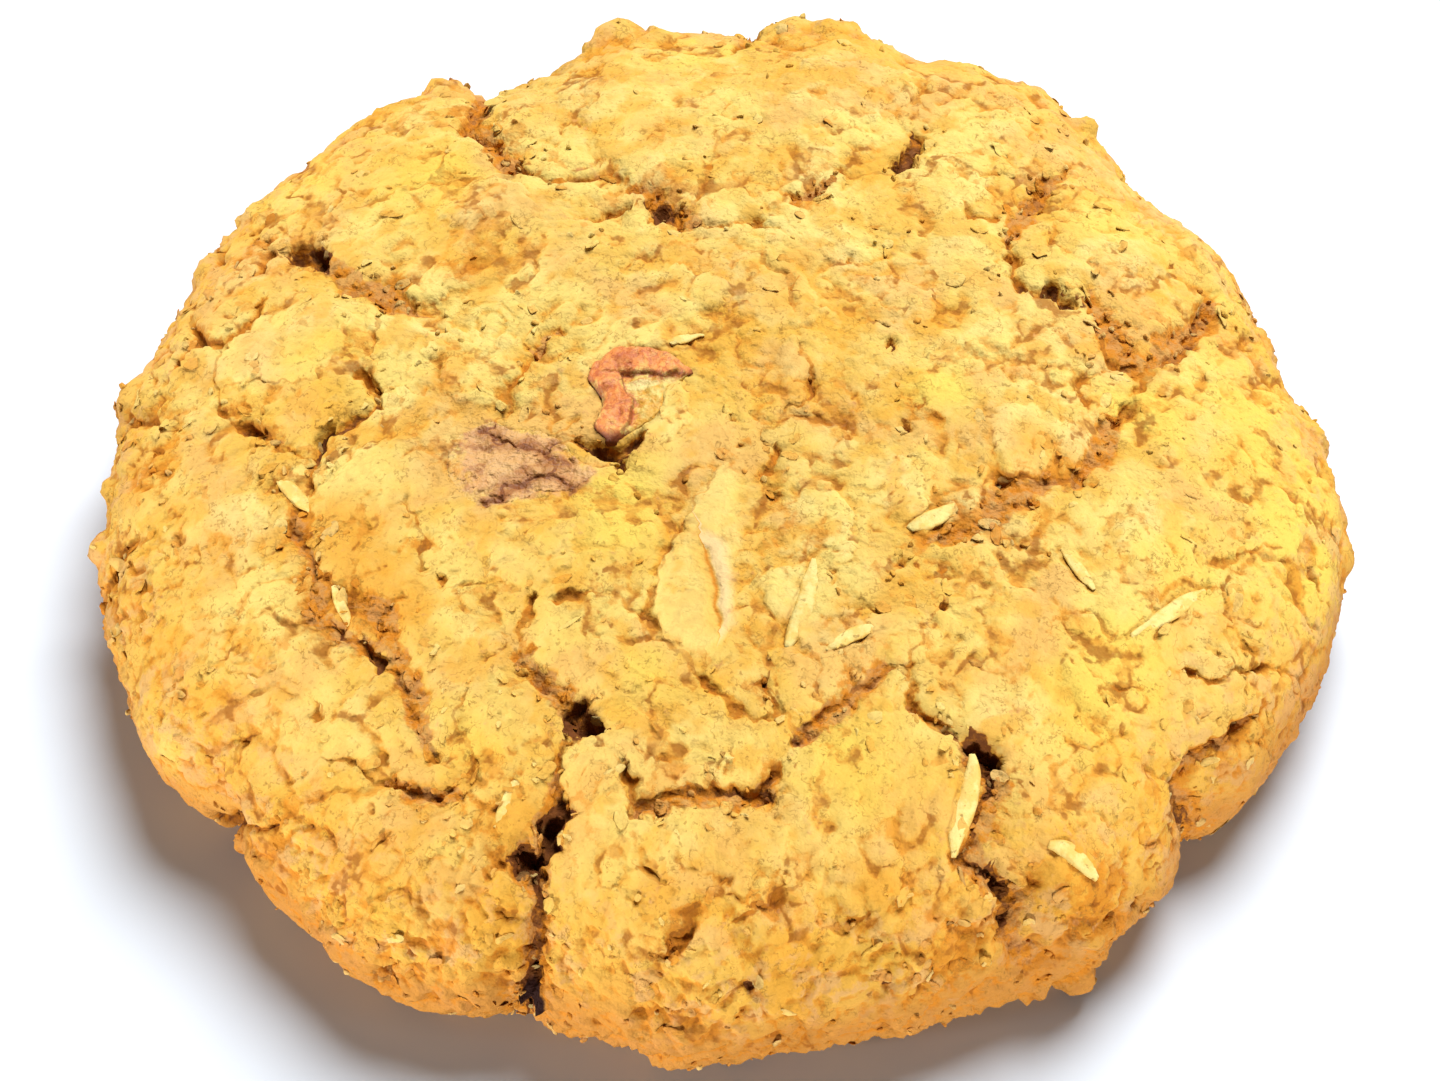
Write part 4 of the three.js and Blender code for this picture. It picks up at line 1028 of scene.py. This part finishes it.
def crust_colours(finish):
    """Colour of the crust and the fine height of its grain, for any piece with the crust's marks."""
    broad, mottle = finish.noise(9, 3, 1), finish.noise(2.4, 3, 2, 0.55)
    clumps, spots = finish.noise(1.1, 5, 6, 0.68), finish.noise(1.1, 3, 14, 0.6)
    fine = finish.noise(0.5, 2, 3)
    names = ("lip", "ledge", "floor", "brown", "pit", "hollow", "pale", "side", "foot")
    lip, ledge, floor, brown, pit, hollow, pale, side, foot = map(finish.mark, names)

    # the glaze: gold on top, orange down the sides; painted shade in orange in hollows, pits and over the
    # front, and brown towards the foot, there with real browning
    warmth = finish.mark("warmth") + (mottle - 0.5) * 0.6
    colour = finish.layered(
        finish.mix(broad.band(0.38, 0.58), GOLD, LIGHT_GOLD),
        (DUSTY, finish.noise(6, 3, 4).band(0.48, 0.62) * 0.8),
        (OAT_CREAM, pale * mottle.band(0.35, 0.65) * 0.6),
        (DUSTY, spots.band(0.52, 0.64) * 0.22),
        (ORANGE_GOLD, finish.noise(3.5, 3, 5).band(0.52, 0.62) * 0.6),
        (OAT_CREAM, spots.band(0.46, 0.35) * 0.15),
        (ORANGE_GOLD, side * broad.band(0.25, 0.55) * 0.75),
        (DEEP_ORANGE, warmth.band(0.05, 0.8) * 0.8),
        (YELLOW_GOLD, warmth.band(-0.05, -0.7) * 0.85),
        (ORANGE_GOLD, hollow.band(0.0, 0.6) * 0.55),
        (ORANGE_GOLD, pit.band(0.0, 0.6) * 0.3),
        (ORANGE_GOLD, finish.mark("front") * 0.3),
        (ROSY, finish.noise(2.2, 4, 15, 0.6).band(0.5, 0.6) * side * 0.6),
        (FOOT_BROWN_AND_SHADE, (foot * 1.3 + (broad - 0.5) * 1.2).band(0.1, 1.0) * 0.9),
    )

    # toasted clumps and the burnt ones among them, darkened further by painted shade in hollows, pits and
    # towards the foot; then painted shade in the sunk grain
    toast_and_shade = brown * 1.3 + finish.mark("shoulder") * 0.4 + hollow * 0.3 + side * 0.15
    toast_and_shade = toast_and_shade + foot * 0.3 + pit * 0.3 + (clumps - 0.5) * 3.0
    burnt_and_shade = brown * 0.8 + lip.band(0.5, 0) * 0.5 + pit * 0.5 + foot * 0.2
    burnt_and_shade = burnt_and_shade + (clumps - 0.5) * 3.0 + (fine - 0.5) * 0.6
    grain_shade = (finish.mark("grain") + (fine - 0.5)).band(0.1, 0.9)
    grain_shade = grain_shade * (side * 0.5 + floor * 0.4 + foot * 0.3 + 0.1)

    # bran, as dashes, hairs and specks
    patches = finish.noise(3.2, 3, 7, 0.6).band(0.4, 0.6)
    dashes = finish.noise(0.75, 3, 8, 0.55).line(0.5, 0.03) * spots.band(0.5, 0.6)
    dashes = dashes * (0.25 + patches * 0.75)
    hairs = finish.noise(1.7, 3, 18, 0.55).line(0.5, 0.02)
    hairs = hairs * finish.noise(2.2, 3, 19).band(0.54, 0.62) * 0.8
    specks = finish.noise(0.34, 1, 10).band(0.62, 0.72) * (0.3 + patches * 0.7)

    # creases and the edges of flakes and oats, browned, with a line of painted shade in them
    web = finish.mark("web") + (spots - 0.5) * 0.5
    crease_shade = (web + (fine - 0.5) * 0.25).band(0.16, 0.04) * mottle.band(0.4, 0.52)
    edge = (ledge + (fine - 0.5) * 0.25).band(0.18, 0.04) * mottle.band(0.4, 0.55)
    colour = finish.layered(
        colour,
        (TOASTED, toast_and_shade.band(0.5, 1.1) * 0.75),
        (BURNT, burnt_and_shade.band(0.85, 1.25) * 0.7),
        (TOASTED, grain_shade * 0.8),
        (BRAN, dashes.math("MAXIMUM", hairs) * 0.6),
        (BRAN, specks * 0.5),
        (TOASTED, (web + (clumps - 0.5) * 1.6).band(0.3, 0.0) * 0.5),
        (BURNT, crease_shade.math("MAXIMUM", edge) * 0.6),
        # a painted shadow line beside each sliver, on its shaded side
        (BURNT, finish.mark("sliver_shadow").band(0.3, 1.0) * 0.5),
    )

    # the large oat: painted shade in orange on one side of its crease and as a dark line along it, a
    # painted highlight in pink on the other side
    petal, crease = finish.mark("petal"), finish.mark("crease")
    colour = finish.layered(
        colour,
        (OAT_FACE, petal * mottle.band(0.66, 0.5) * 0.6),
        (ORANGE_GOLD, petal * crease.band(-1.3, -0.1) * crease.band(0.1, 0) * 0.5),
        (OAT_PAINTED_HIGHLIGHT, petal * crease.band(0.1, 0.3) * crease.band(1.8, 0.8) * 0.7),
        (TOASTED, petal * crease.line(0, 0.24) * 0.85),
    )

    # crumb: in the troughs and in the cracks; where a crack gapes, painted shade over its crumb, the darker
    # the deeper the crack
    crumb = (floor + (mottle - 0.5) * 1.2 + (fine - 0.5) * 0.8).band(0.5, 0.8)
    from_middle = (finish.mark("across") + (spots - 0.5) * 0.6).math("ABSOLUTE")
    gap = (finish.mark("half") - from_middle).band(-0.06, 0.04) * lip.band(0.45, 0.25)
    depth_shade = finish.mark("depth_shade")
    deep = gap * depth_shade + (fine - 0.5) * 0.4 - (clumps - 0.5) * 1.4
    colour = finish.layered(
        colour,
        (finish.mix(clumps.band(0.42, 0.6), CRUMB, TOASTED), crumb * 0.75),
        (finish.mix(clumps.band(0.4, 0.6), BURNT, TOASTED), gap * (0.35 + depth_shade * 0.65)),
        (CRUMB_AND_DEPTH_SHADE, deep.band(0.5, 0.9) * 0.9),
    )

    # the stain of melted chocolate with its veins, and the chip
    stain = (finish.mark("cocoa") + (mottle - 0.5) * 1.6 + (fine - 0.5) * 1.2).band(0.25, 0.85)
    veins = (gap + clumps.band(0.54, 0.64) * lip.band(1.6, 0.4) * 0.8).math("MINIMUM", 1)
    colour = finish.layered(
        colour,
        (COCOA_TAN, stain * 0.8),
        (COCOA_BROWN, stain * finish.noise(1.9, 5, 16, 0.66).band(0.48, 0.6) * 0.7),
        (COCOA_BROWN, stain * lip.band(0.8, 0.0) * 0.7),
        (COCOA_DARK, stain * veins * 0.8),
        (DARK_CHIP, finish.mark("chip").band(0.3, 0.7)),
    )

    wrinkles = finish.noise(1.3, 3, 17, 0.55).line(0.5, 0.14)
    height = fine * (floor + 0.9) + spots * 0.7 + mottle * 0.3 - wrinkles * 0.12
    return colour, height


def crust_finish():
    finish = Finish("baked_crust")
    colour, height = crust_colours(finish)
    grain = finish.bump(height, 0.28, 0.7)
    return finish.surface(Base_Color=colour, Roughness=0.75, Normal=grain, Specular_IOR_Level=0.08)


crust = bake_crust()
crust.data.materials.append(crust_finish())
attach(crust, "root")
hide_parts("dough")

# ----------------------------------------------------------------------------------------------
# THE CHOCOLATE
# A piece of chocolate that melted in the oven just under the skin. It shows as a dull
# mauve-brown patch with dark veins, level with the crust, in a hollow of the dough.

CHOCOLATE_DEPTH = 1.0
CHOCOLATE_REACH = 1.06  # it runs on under the crust, a little past its outline
CHOCOLATE_RISE = 0.03
PATCH_RINGS = 40


def patch_in(middle, outline, reach):
    """A patch of the crust inside an outline: its places, their shares, its faces and its rim."""
    unit, faces, rim = disc_of_rings([6 * k for k in range(1, PATCH_RINGS + 1)], reach)
    share = away_from(unit)
    radius = share / np.maximum(outline_share(unit + middle, middle, outline), 1e-9)
    return unit * radius[:, None] + middle, share, faces, rim


def patch_piece(name, points, normal, depth, faces, rim, marks):
    """A closed piece from the front of a patch and a back that lies the depth behind it."""
    count = len(points)
    both = faces + zip_rings(rim, [i + count for i in rim])
    both += [(a + count, c + count, b + count) for a, b, c in faces]
    marks = {mark: np.concatenate([values, values]) for mark, values in marks.items()}
    return mesh_piece(name, np.concatenate([points, points - normal * depth]), both, marks)


def melt_chocolate():
    place, share, faces, rim = patch_in(CHOCOLATE_AT, CHOCOLATE_OUTLINE, CHOCOLATE_REACH)
    height, marks = crust_relief(place)
    # The painted shade in its grain and pits follows the patch's own relief; there is none from hollows.
    marks["pit"] = marks["grain"] = sunk(height, faces, 12, 0.22)
    marks["hollow"] = np.zeros(len(place))
    normal = crust_normal(place)
    height = height + CHOCOLATE_RISE - 0.2 * ramp(share, 0.99, 1.05)
    points = smooth_crust(place) + normal * height[:, None]
    points = crumble(points, crumbling(marks))
    return patch_piece("chocolate", points, normal, CHOCOLATE_DEPTH, faces, rim, marks)


def chocolate_finish():
    finish = Finish("melted_chocolate")
    colour, height = crust_colours(finish)
    grain = finish.bump(height, 0.45, 0.8)
    return finish.surface(Base_Color=colour, Roughness=0.6, Normal=grain, Specular_IOR_Level=0.3)


chocolate = melt_chocolate()
chocolate.data.materials.append(chocolate_finish())
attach(chocolate, "root")
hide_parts("chocolate_piece")

# ----------------------------------------------------------------------------------------------
# THE OATS
# Slivers of rolled oats that stand on edge in the skin. They baked paler than the dough round
# them. The large oat and the whole ones that lie flat are part of the crust, under its skin.


STRETCH_STEPS = 30  # of the curve between two corners
SLIVER_STEPS = 40
SLIVER_SIDES = 14
SLIVER_FLATNESS = 0.4  # thickness over width of the section
SLIVER_RISE = -0.08  # of its middle line over the crust
SLIVER_BEND = 0.3  # most that its ends may follow the crust up or down


def smooth_route(corners, count):
    """Places along a curve through the corners, evenly spaced, with the half widths there."""
    corners = np.array(corners, float)
    ends = np.vstack([2 * corners[0] - corners[1], corners, 2 * corners[-1] - corners[-2]])
    share = np.linspace(0, 1, STRETCH_STEPS, endpoint=False)[:, None]
    stretches = []
    for a, b, c, d in zip(ends, ends[1:], ends[2:], ends[3:]):
        bend = 2 * b + (c - a) * share + (2 * a - 5 * b + 4 * c - d) * share**2
        stretches.append(0.5 * (bend + (3 * b - a - 3 * c + d) * share**3))
    fine = np.vstack([*stretches, corners[-1:]])
    reach = np.append(0, np.cumsum(np.linalg.norm(np.diff(fine[:, :2], axis=0), axis=1)))
    even = np.linspace(0, reach[-1], count)
    return np.stack([np.interp(even, reach, column) for column in fine.T], axis=1)


def sliver_along(line, level):
    """Points, faces and edge mark of a sliver along a line on the crust, its section an ellipse."""
    place, half = line[:, :2], np.maximum(line[:, 2], 0.05)
    base, out = smooth_crust(place), crust_normal(place)
    side = np.cross(np.gradient(base, axis=0), out)
    side /= np.linalg.norm(side, axis=1, keepdims=True)
    middle = base + out * level[:, None]
    turn = 2 * math.pi * np.arange(SLIVER_SIDES) / SLIVER_SIDES
    cos, sin = np.cos(turn)[None, :, None], np.sin(turn)[None, :, None]
    spokes = side[:, None] * cos + out[:, None] * sin * SLIVER_FLATNESS
    points = (middle[:, None] + spokes * half[:, None, None]).reshape(-1, 3)
    rings = np.arange(len(points)).reshape(-1, SLIVER_SIDES).tolist()
    faces = [face for last, ring in zip(rings, rings[1:]) for face in zip_rings(last, ring)]
    faces += [rings[0], rings[-1][::-1]]
    return points, faces, np.tile(np.abs(np.cos(turn)), len(line))


def lay_slivers():
    lines = [smooth_route(route, SLIVER_STEPS) for route in SLIVERS]
    crust_there = crust_relief(np.concatenate(lines)[:, :2])[0]
    share = np.linspace(-1, 1, SLIVER_STEPS)
    points, faces, edges = [], [], []
    for line, level in zip(lines, crust_there.reshape(-1, SLIVER_STEPS)):
        level = np.clip(level, np.median(level) - SLIVER_BEND, np.median(level) + SLIVER_BEND)
        level = np.polyval(np.polyfit(share, level, 1), share)
        body, sides, edge = sliver_along(line, level + SLIVER_RISE)
        start = sum(len(part) for part in points)
        faces += [tuple(corner + start for corner in face) for face in sides]
        points.append(body)
        edges.append(edge)
    points = crumble(np.concatenate(points), 0.08)
    return mesh_piece("oat_slivers", points, faces, {"edge": np.concatenate(edges)})


OAT_PALE = (0.58, 0.46, 0.155)
OAT_GOLD = (0.56, 0.37, 0.09)


def sliver_finish():
    finish = Finish("oat_edges")
    mottle = finish.noise(1.0, 4, 31, 0.6)
    edge = (finish.mark("edge") + (mottle - 0.5) * 0.9).band(0.6, 1.0)
    dots = finish.noise(0.4, 2, 32).band(0.62, 0.7) * finish.noise(3, 2, 33).band(0.4, 0.55)
    colour = finish.layered(
        finish.mix(mottle.band(0.42, 0.6), OAT_PALE, OAT_GOLD),
        (GOLD, edge * 0.8),
        (BRAN, dots * 0.6),
    )
    grain = finish.bump(finish.noise(0.5, 3, 34) + mottle, 0.2, 0.7)
    return finish.surface(Base_Color=colour, Roughness=0.7, Normal=grain, Specular_IOR_Level=0.25)


oat_slivers = lay_slivers()
oat_slivers.data.materials.append(sliver_finish())
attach(oat_slivers, "root")

# ----------------------------------------------------------------------------------------------
# THE PECAN
# A broken piece of pecan kernel: one curled lobe, with its red-brown skin outwards. It is
# pressed into the dough and stands a little proud of it.

# Its lobe: places on the map with the half width there
PECAN_LOBE = [
    (-1.6, 2.1, 0.3), (-2.8, 2.9, 0.8), (-4.4, 3.4, 1.05), (-6.2, 3.7, 1.25), (-7.4, 2.9, 1.1),
    (-6.9, 1.4, 0.8), (-6.3, -0.2, 1.0), (-6.7, -1.6, 1.1), (-6.7, -2.3, 0.7),
]  # fmt: skip
PECAN_DEPTH = 1.6
PECAN_SINK = 0.05
PECAN_RELIEF = 0.65
CREAM_SPOT = (-4.9, 1.6)  # where its pale meat shows
ORANGE_SPOT = (-4.1, -0.9)


def shape_pecan():
    place, share, faces, rim = patch_in(PECAN_AT, PECAN_OUTLINE, 1.0)
    base, normal = smooth_crust(place), crust_normal(place)
    across, half, _ = along_route(place + 0.25 * swells(base, 1.2, 59)[:, None], PECAN_LOBE)
    rib = np.abs(across) / half
    lobe = np.sqrt(1 - np.clip(rib, 0, 1) ** 2)
    height = lie_of_crust(base) - PECAN_SINK + PECAN_RELIEF * lobe
    height += 0.3 * (np.abs(swells(base, 1.4, 60)) - 0.2) + 0.14 * swells(base, 0.6, 61, 2)
    height -= 0.7 * ramp(share, 0.86, 1.0) ** 2
    points = crumble(base + normal * height[:, None], 0.12)
    marks = {
        "rib": np.clip(rib, 0, 3),
        "rim": share,
        "cream": np.exp(-np.sum(((place - CREAM_SPOT) / (1.2, 0.45)) ** 2, axis=1)),
        "orange": np.exp(-np.sum(((place - ORANGE_SPOT) / (0.7, 0.7)) ** 2, axis=1)),
        "pit": sunk(height, faces, 10, 0.15),
    }
    return patch_piece("pecan", points, normal, PECAN_DEPTH, faces, rim, marks)


PECAN_SKIN = (0.50, 0.17, 0.04)
PECAN_TAN = (0.55, 0.27, 0.07)
PECAN_RED = (0.34, 0.065, 0.015)
PECAN_DARK = (0.13, 0.028, 0.008)


def pecan_finish():
    finish = Finish("pecan_skin")
    mottle = finish.noise(1.0, 5, 21, 0.62)
    fine = finish.noise(0.4, 3, 22, 0.6)
    rib, rim = finish.mark("rib"), finish.mark("rim")
    skin = finish.mix(mottle.band(0.45, 0.62), PECAN_SKIN, PECAN_TAN)
    meat = finish.mix(mottle.band(0.42, 0.6), ORANGE_GOLD, LIGHT_GOLD)
    # the veins, and painted shade where the pecan is sunk
    veins = finish.noise(0.7, 4, 23, 0.6).line(0.5, 0.06) * 0.6 + finish.mark("pit").band(0.1, 0.7) * 0.7
    veins = veins + finish.noise(1.6, 4, 24, 0.65).band(0.52, 0.62) * 0.4
    lip = (rib + (fine - 0.5) * 0.5).line(0.95, 0.16) * 0.6
    edge = (rim + (fine - 0.5) * 0.08).band(0.9, 0.97) * rib.band(1.9, 1.3) * 0.85
    colour = finish.layered(
        finish.mix((rib + (mottle - 0.5) * 1.2).band(0.8, 1.1), skin, meat),
        (OAT_CREAM, (finish.mark("cream") + (fine - 0.5)).band(0.3, 0.6) * 0.9),
        (ORANGE_GOLD, finish.mark("orange").band(0.3, 0.8) * 0.8),
        (PECAN_RED, veins.math("MINIMUM", 0.8) * rib.band(2.0, 1.2)),
        (PECAN_DARK, lip.math("MAXIMUM", edge)),
    )
    grain = finish.bump(fine + mottle, 0.25, 0.7)
    return finish.surface(Base_Color=colour, Roughness=0.55, Normal=grain, Specular_IOR_Level=0.35)


pecan = shape_pecan()
pecan.data.materials.append(pecan_finish())
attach(pecan, "root")
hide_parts("pecan_piece")

# ----------------------------------------------------------------------------------------------
# THE CRUMBS
# Loose crumbs and thin flakes of bran cling to the crust. They lie closest where it broke open
# and down the sides. The largest flakes are nearly two millimetres long.

# Length, width and thickness of the smallest and of the largest
CRUMB_SIZES = ((0.25, 0.2, 0.14), (0.8, 0.55, 0.4))
BRAN_SIZES = ((0.6, 0.35, 0.08), (1.8, 1.0, 0.18))
BIT_DENTS = 0.6
DENTS_PER_METRE = 1800.0


def strewing():
    """Geometry nodes that strew bits over the crust, the closer the higher its mark 'crumbs'."""
    tree = bpy.data.node_groups.new("strewn_bits", "GeometryNodeTree")
    kinds = {
        "Crust": "Geometry",
        "Bits Per Square Metre": "Float",
        "Smallest": "Vector",
        "Largest": "Vector",
        "Lean": "Float",
        "Unevenness": "Float",
        "Seed": "Int",
        "Material": "Material",
    }
    for name, kind in kinds.items():
        tree.interface.new_socket(name, in_out="INPUT", socket_type="NodeSocket" + kind)
    tree.interface.new_socket("Bits", in_out="OUTPUT", socket_type="NodeSocketGeometry")
    given = {name: add_node(tree, "NodeGroupInput", output=name) for name in kinds}
    a_float, a_vector = {"data_type": "FLOAT"}, {"data_type": "FLOAT_VECTOR"}

    # places on the crust, where each bit leans over and turns by chance
    share = add_node(tree, "GeometryNodeInputNamedAttribute", a_float, {"Name": "crumbs"})
    density = share * given["Bits Per Square Metre"]
    spread = {"Mesh": given["Crust"], "Density": density, "Seed": given["Seed"]}
    places = add_node(tree, "GeometryNodeDistributePointsOnFaces", {}, spread, "Points")
    upright = Wire(tree, places.socket.node.outputs["Rotation"])
    lean = {0: given["Lean"], 1: given["Lean"], 2: math.pi}
    lean = add_node(tree, "ShaderNodeCombineXYZ", {}, lean)
    back = add_node(tree, "ShaderNodeVectorMath", {"operation": "SCALE"}, {0: lean, "Scale": -1.0})
    turn = add_node(tree, "FunctionNodeRandomValue", a_vector, {0: back, 1: lean, "Seed": 5})
    turn = add_node(tree, "FunctionNodeEulerToRotation", {}, {"Euler": turn})
    turns = {"Rotation": upright, "Rotate By": turn}
    turned = add_node(tree, "FunctionNodeRotateRotation", {"rotation_space": "LOCAL"}, turns)

    # a bit of random size on each, with a tone of its own
    sizes = {0: given["Smallest"], 1: given["Largest"], "Seed": 6}
    size = add_node(tree, "FunctionNodeRandomValue", a_vector, sizes)
    ball = {"Radius": 0.5, "Subdivisions": 2}
    bit = add_node(tree, "GeometryNodeMeshIcoSphere", {}, ball, "Mesh")
    laid = {"Points": places, "Instance": bit, "Rotation": turned, "Scale": size}
    bits = add_node(tree, "GeometryNodeInstanceOnPoints", {}, laid)
    tone = add_node(tree, "FunctionNodeRandomValue", a_float, {"Seed": 7}, 1)
    marked = {"Geometry": bits, "Name": "tone", "Value": tone}
    each = a_float | {"domain": "INSTANCE"}
    bits = add_node(tree, "GeometryNodeStoreNamedAttribute", each, marked)
    bits = add_node(tree, "GeometryNodeRealizeInstances", {}, {"Geometry": bits})

    # dents that make the bits uneven
    noise = {"Scale": DENTS_PER_METRE, "Detail": 2.0}
    dents = add_node(tree, "ShaderNodeTexNoise", {}, noise, "Color")
    dents = {0: dents, 1: (0.5, 0.5, 0.5)}
    dents = add_node(tree, "ShaderNodeVectorMath", {"operation": "SUBTRACT"}, dents)
    dents = {0: dents, "Scale": given["Unevenness"]}
    dents = add_node(tree, "ShaderNodeVectorMath", {"operation": "SCALE"}, dents)
    bits = add_node(tree, "GeometryNodeSetPosition", {}, {"Geometry": bits, "Offset": dents})
    dressed = {"Geometry": bits, "Material": given["Material"]}
    bits = add_node(tree, "GeometryNodeSetMaterial", {}, dressed)
    add_node(tree, "NodeGroupOutput", {}, {"Bits": bits})
    return tree


def strewn_piece(name, tree, amounts):
    """The bits that the nodes strew over the crust, as a plain mesh."""
    piece = bpy.data.objects.new(name, crust.data.copy())
    bpy.context.scene.collection.objects.link(piece)
    strew = piece.modifiers.new("strew", "NODES")
    strew.node_group = tree
    for socket in tree.interface.items_tree:
        if socket.name in amounts:
            strew[socket.identifier] = amounts[socket.name]
    bpy.context.view_layer.update()
    depsgraph = bpy.context.evaluated_depsgraph_get()
    grown = piece.evaluated_get(depsgraph)
    mesh = bpy.data.meshes.new_from_object(grown, preserve_all_data_layers=True, depsgraph=depsgraph)
    piece.modifiers.clear()
    piece.data = mesh
    mesh.shade_smooth()
    return piece


def crumb_finish():
    finish = Finish("baked_crumbs")
    colour, height = crust_colours(finish)
    tone = finish.mark("tone")
    browner, paler = tone.band(0.5, 0.9) * 0.4, tone.band(0.3, 0.05) * 0.4
    colour = finish.layered(colour, (TOASTED, browner), (OAT_CREAM, paler))
    grain = finish.bump(height, 0.3, 0.8)
    return finish.surface(Base_Color=colour, Roughness=0.8, Normal=grain, Specular_IOR_Level=0.08)


bit_nodes = strewing()
bit_skin = crumb_finish()
# Crumbs may lean any way, flakes of bran lie nearly flat
for name, sizes, count, lean, seed in (
    ("crumbs", CRUMB_SIZES, 260000.0, 1.2, 3),
    ("bran_flakes", BRAN_SIZES, 130000.0, 0.25, 8),
):
    bits = strewn_piece(
        name,
        bit_nodes,
        {
            "Bits Per Square Metre": count,
            "Smallest": [side * MM for side in sizes[0]],
            "Largest": [side * MM for side in sizes[1]],
            "Lean": lean,
            "Unevenness": BIT_DENTS * MM,
            "Seed": seed,
            "Material": bit_skin,
        },
    )
    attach(bits, "root")

# ----------------------------------------------------------------------------------------------
# FLOOR, LIGHT AND CAMERA
# The cookie lies on a white table in a bright room. The main light comes from above and from
# the back right, so the soft shadow falls towards the front left. Low lamps fill the sides.

TABLE_REACH = 3.0  # metres to each side
TABLE_WHITE = (0.54, 0.585, 0.64, 1)
ROOM_LIGHT = 0.08
LAMP_AWAY = 1.0

floor_mesh = bpy.data.meshes.new("floor")
low, high = -TABLE_REACH, TABLE_REACH
floor_mesh.from_pydata([(low, low, 0), (high, low, 0), (high, high, 0), (low, high, 0)], [], [(0, 1, 2, 3)])
floor = bpy.data.objects.new("floor", floor_mesh)
bpy.context.scene.collection.objects.link(floor)
floor_finish = Finish("white_table")
floor_mesh.materials.append(floor_finish.surface(Base_Color=TABLE_WHITE, Roughness=0.9))

world = bpy.data.worlds.new("bright_room")
world.use_nodes = True
background = world.node_tree.nodes["Background"]
background.inputs["Color"].default_value = (1, 1, 1, 1)
background.inputs["Strength"].default_value = ROOM_LIGHT
bpy.context.scene.world = world


def add_lamp(name, azimuth, elevation, size, watts):
    """A round lamp that faces the cookie, with azimuth 0 at +X, in degrees and metres."""
    turn, rise = math.radians(azimuth), math.radians(elevation)
    light = bpy.data.lights.new(name, "AREA")
    light.shape, light.size, light.energy = "DISK", size, watts
    lamp = bpy.data.objects.new(name, light)
    lamp.location = (
        LAMP_AWAY * math.cos(rise) * math.cos(turn),
        LAMP_AWAY * math.cos(rise) * math.sin(turn),
        LAMP_AWAY * math.sin(rise),
    )
    lamp.rotation_euler = (math.pi / 2 - rise, 0, turn + math.pi / 2)
    bpy.context.scene.collection.objects.link(lamp)


add_lamp("window", azimuth=65, elevation=60, size=0.7, watts=22.5)
add_lamp("front_fill", azimuth=-90, elevation=2.5, size=0.08, watts=12)
add_lamp("left_fill", azimuth=-165, elevation=2.5, size=0.08, watts=12)
add_lamp("right_fill", azimuth=-15, elevation=2.5, size=0.08, watts=5)

CAMERA_AIM = (0.14 * MM, -2.40 * MM, 7.70 * MM)
CAMERA_ELEVATION = math.radians(53)
CAMERA_AWAY = 0.43
camera_data = bpy.data.cameras.new("camera")
camera_data.lens = 166
camera_data.sensor_width = 36
camera = bpy.data.objects.new("camera", camera_data)
camera.location = (
    CAMERA_AIM[0],
    CAMERA_AIM[1] - CAMERA_AWAY * math.cos(CAMERA_ELEVATION),
    CAMERA_AIM[2] + CAMERA_AWAY * math.sin(CAMERA_ELEVATION),
)
camera.rotation_euler = (math.pi / 2 - CAMERA_ELEVATION, 0, 0)
bpy.context.scene.collection.objects.link(camera)
bpy.context.scene.camera = camera
bpy.context.scene.view_settings.view_transform = "Standard"
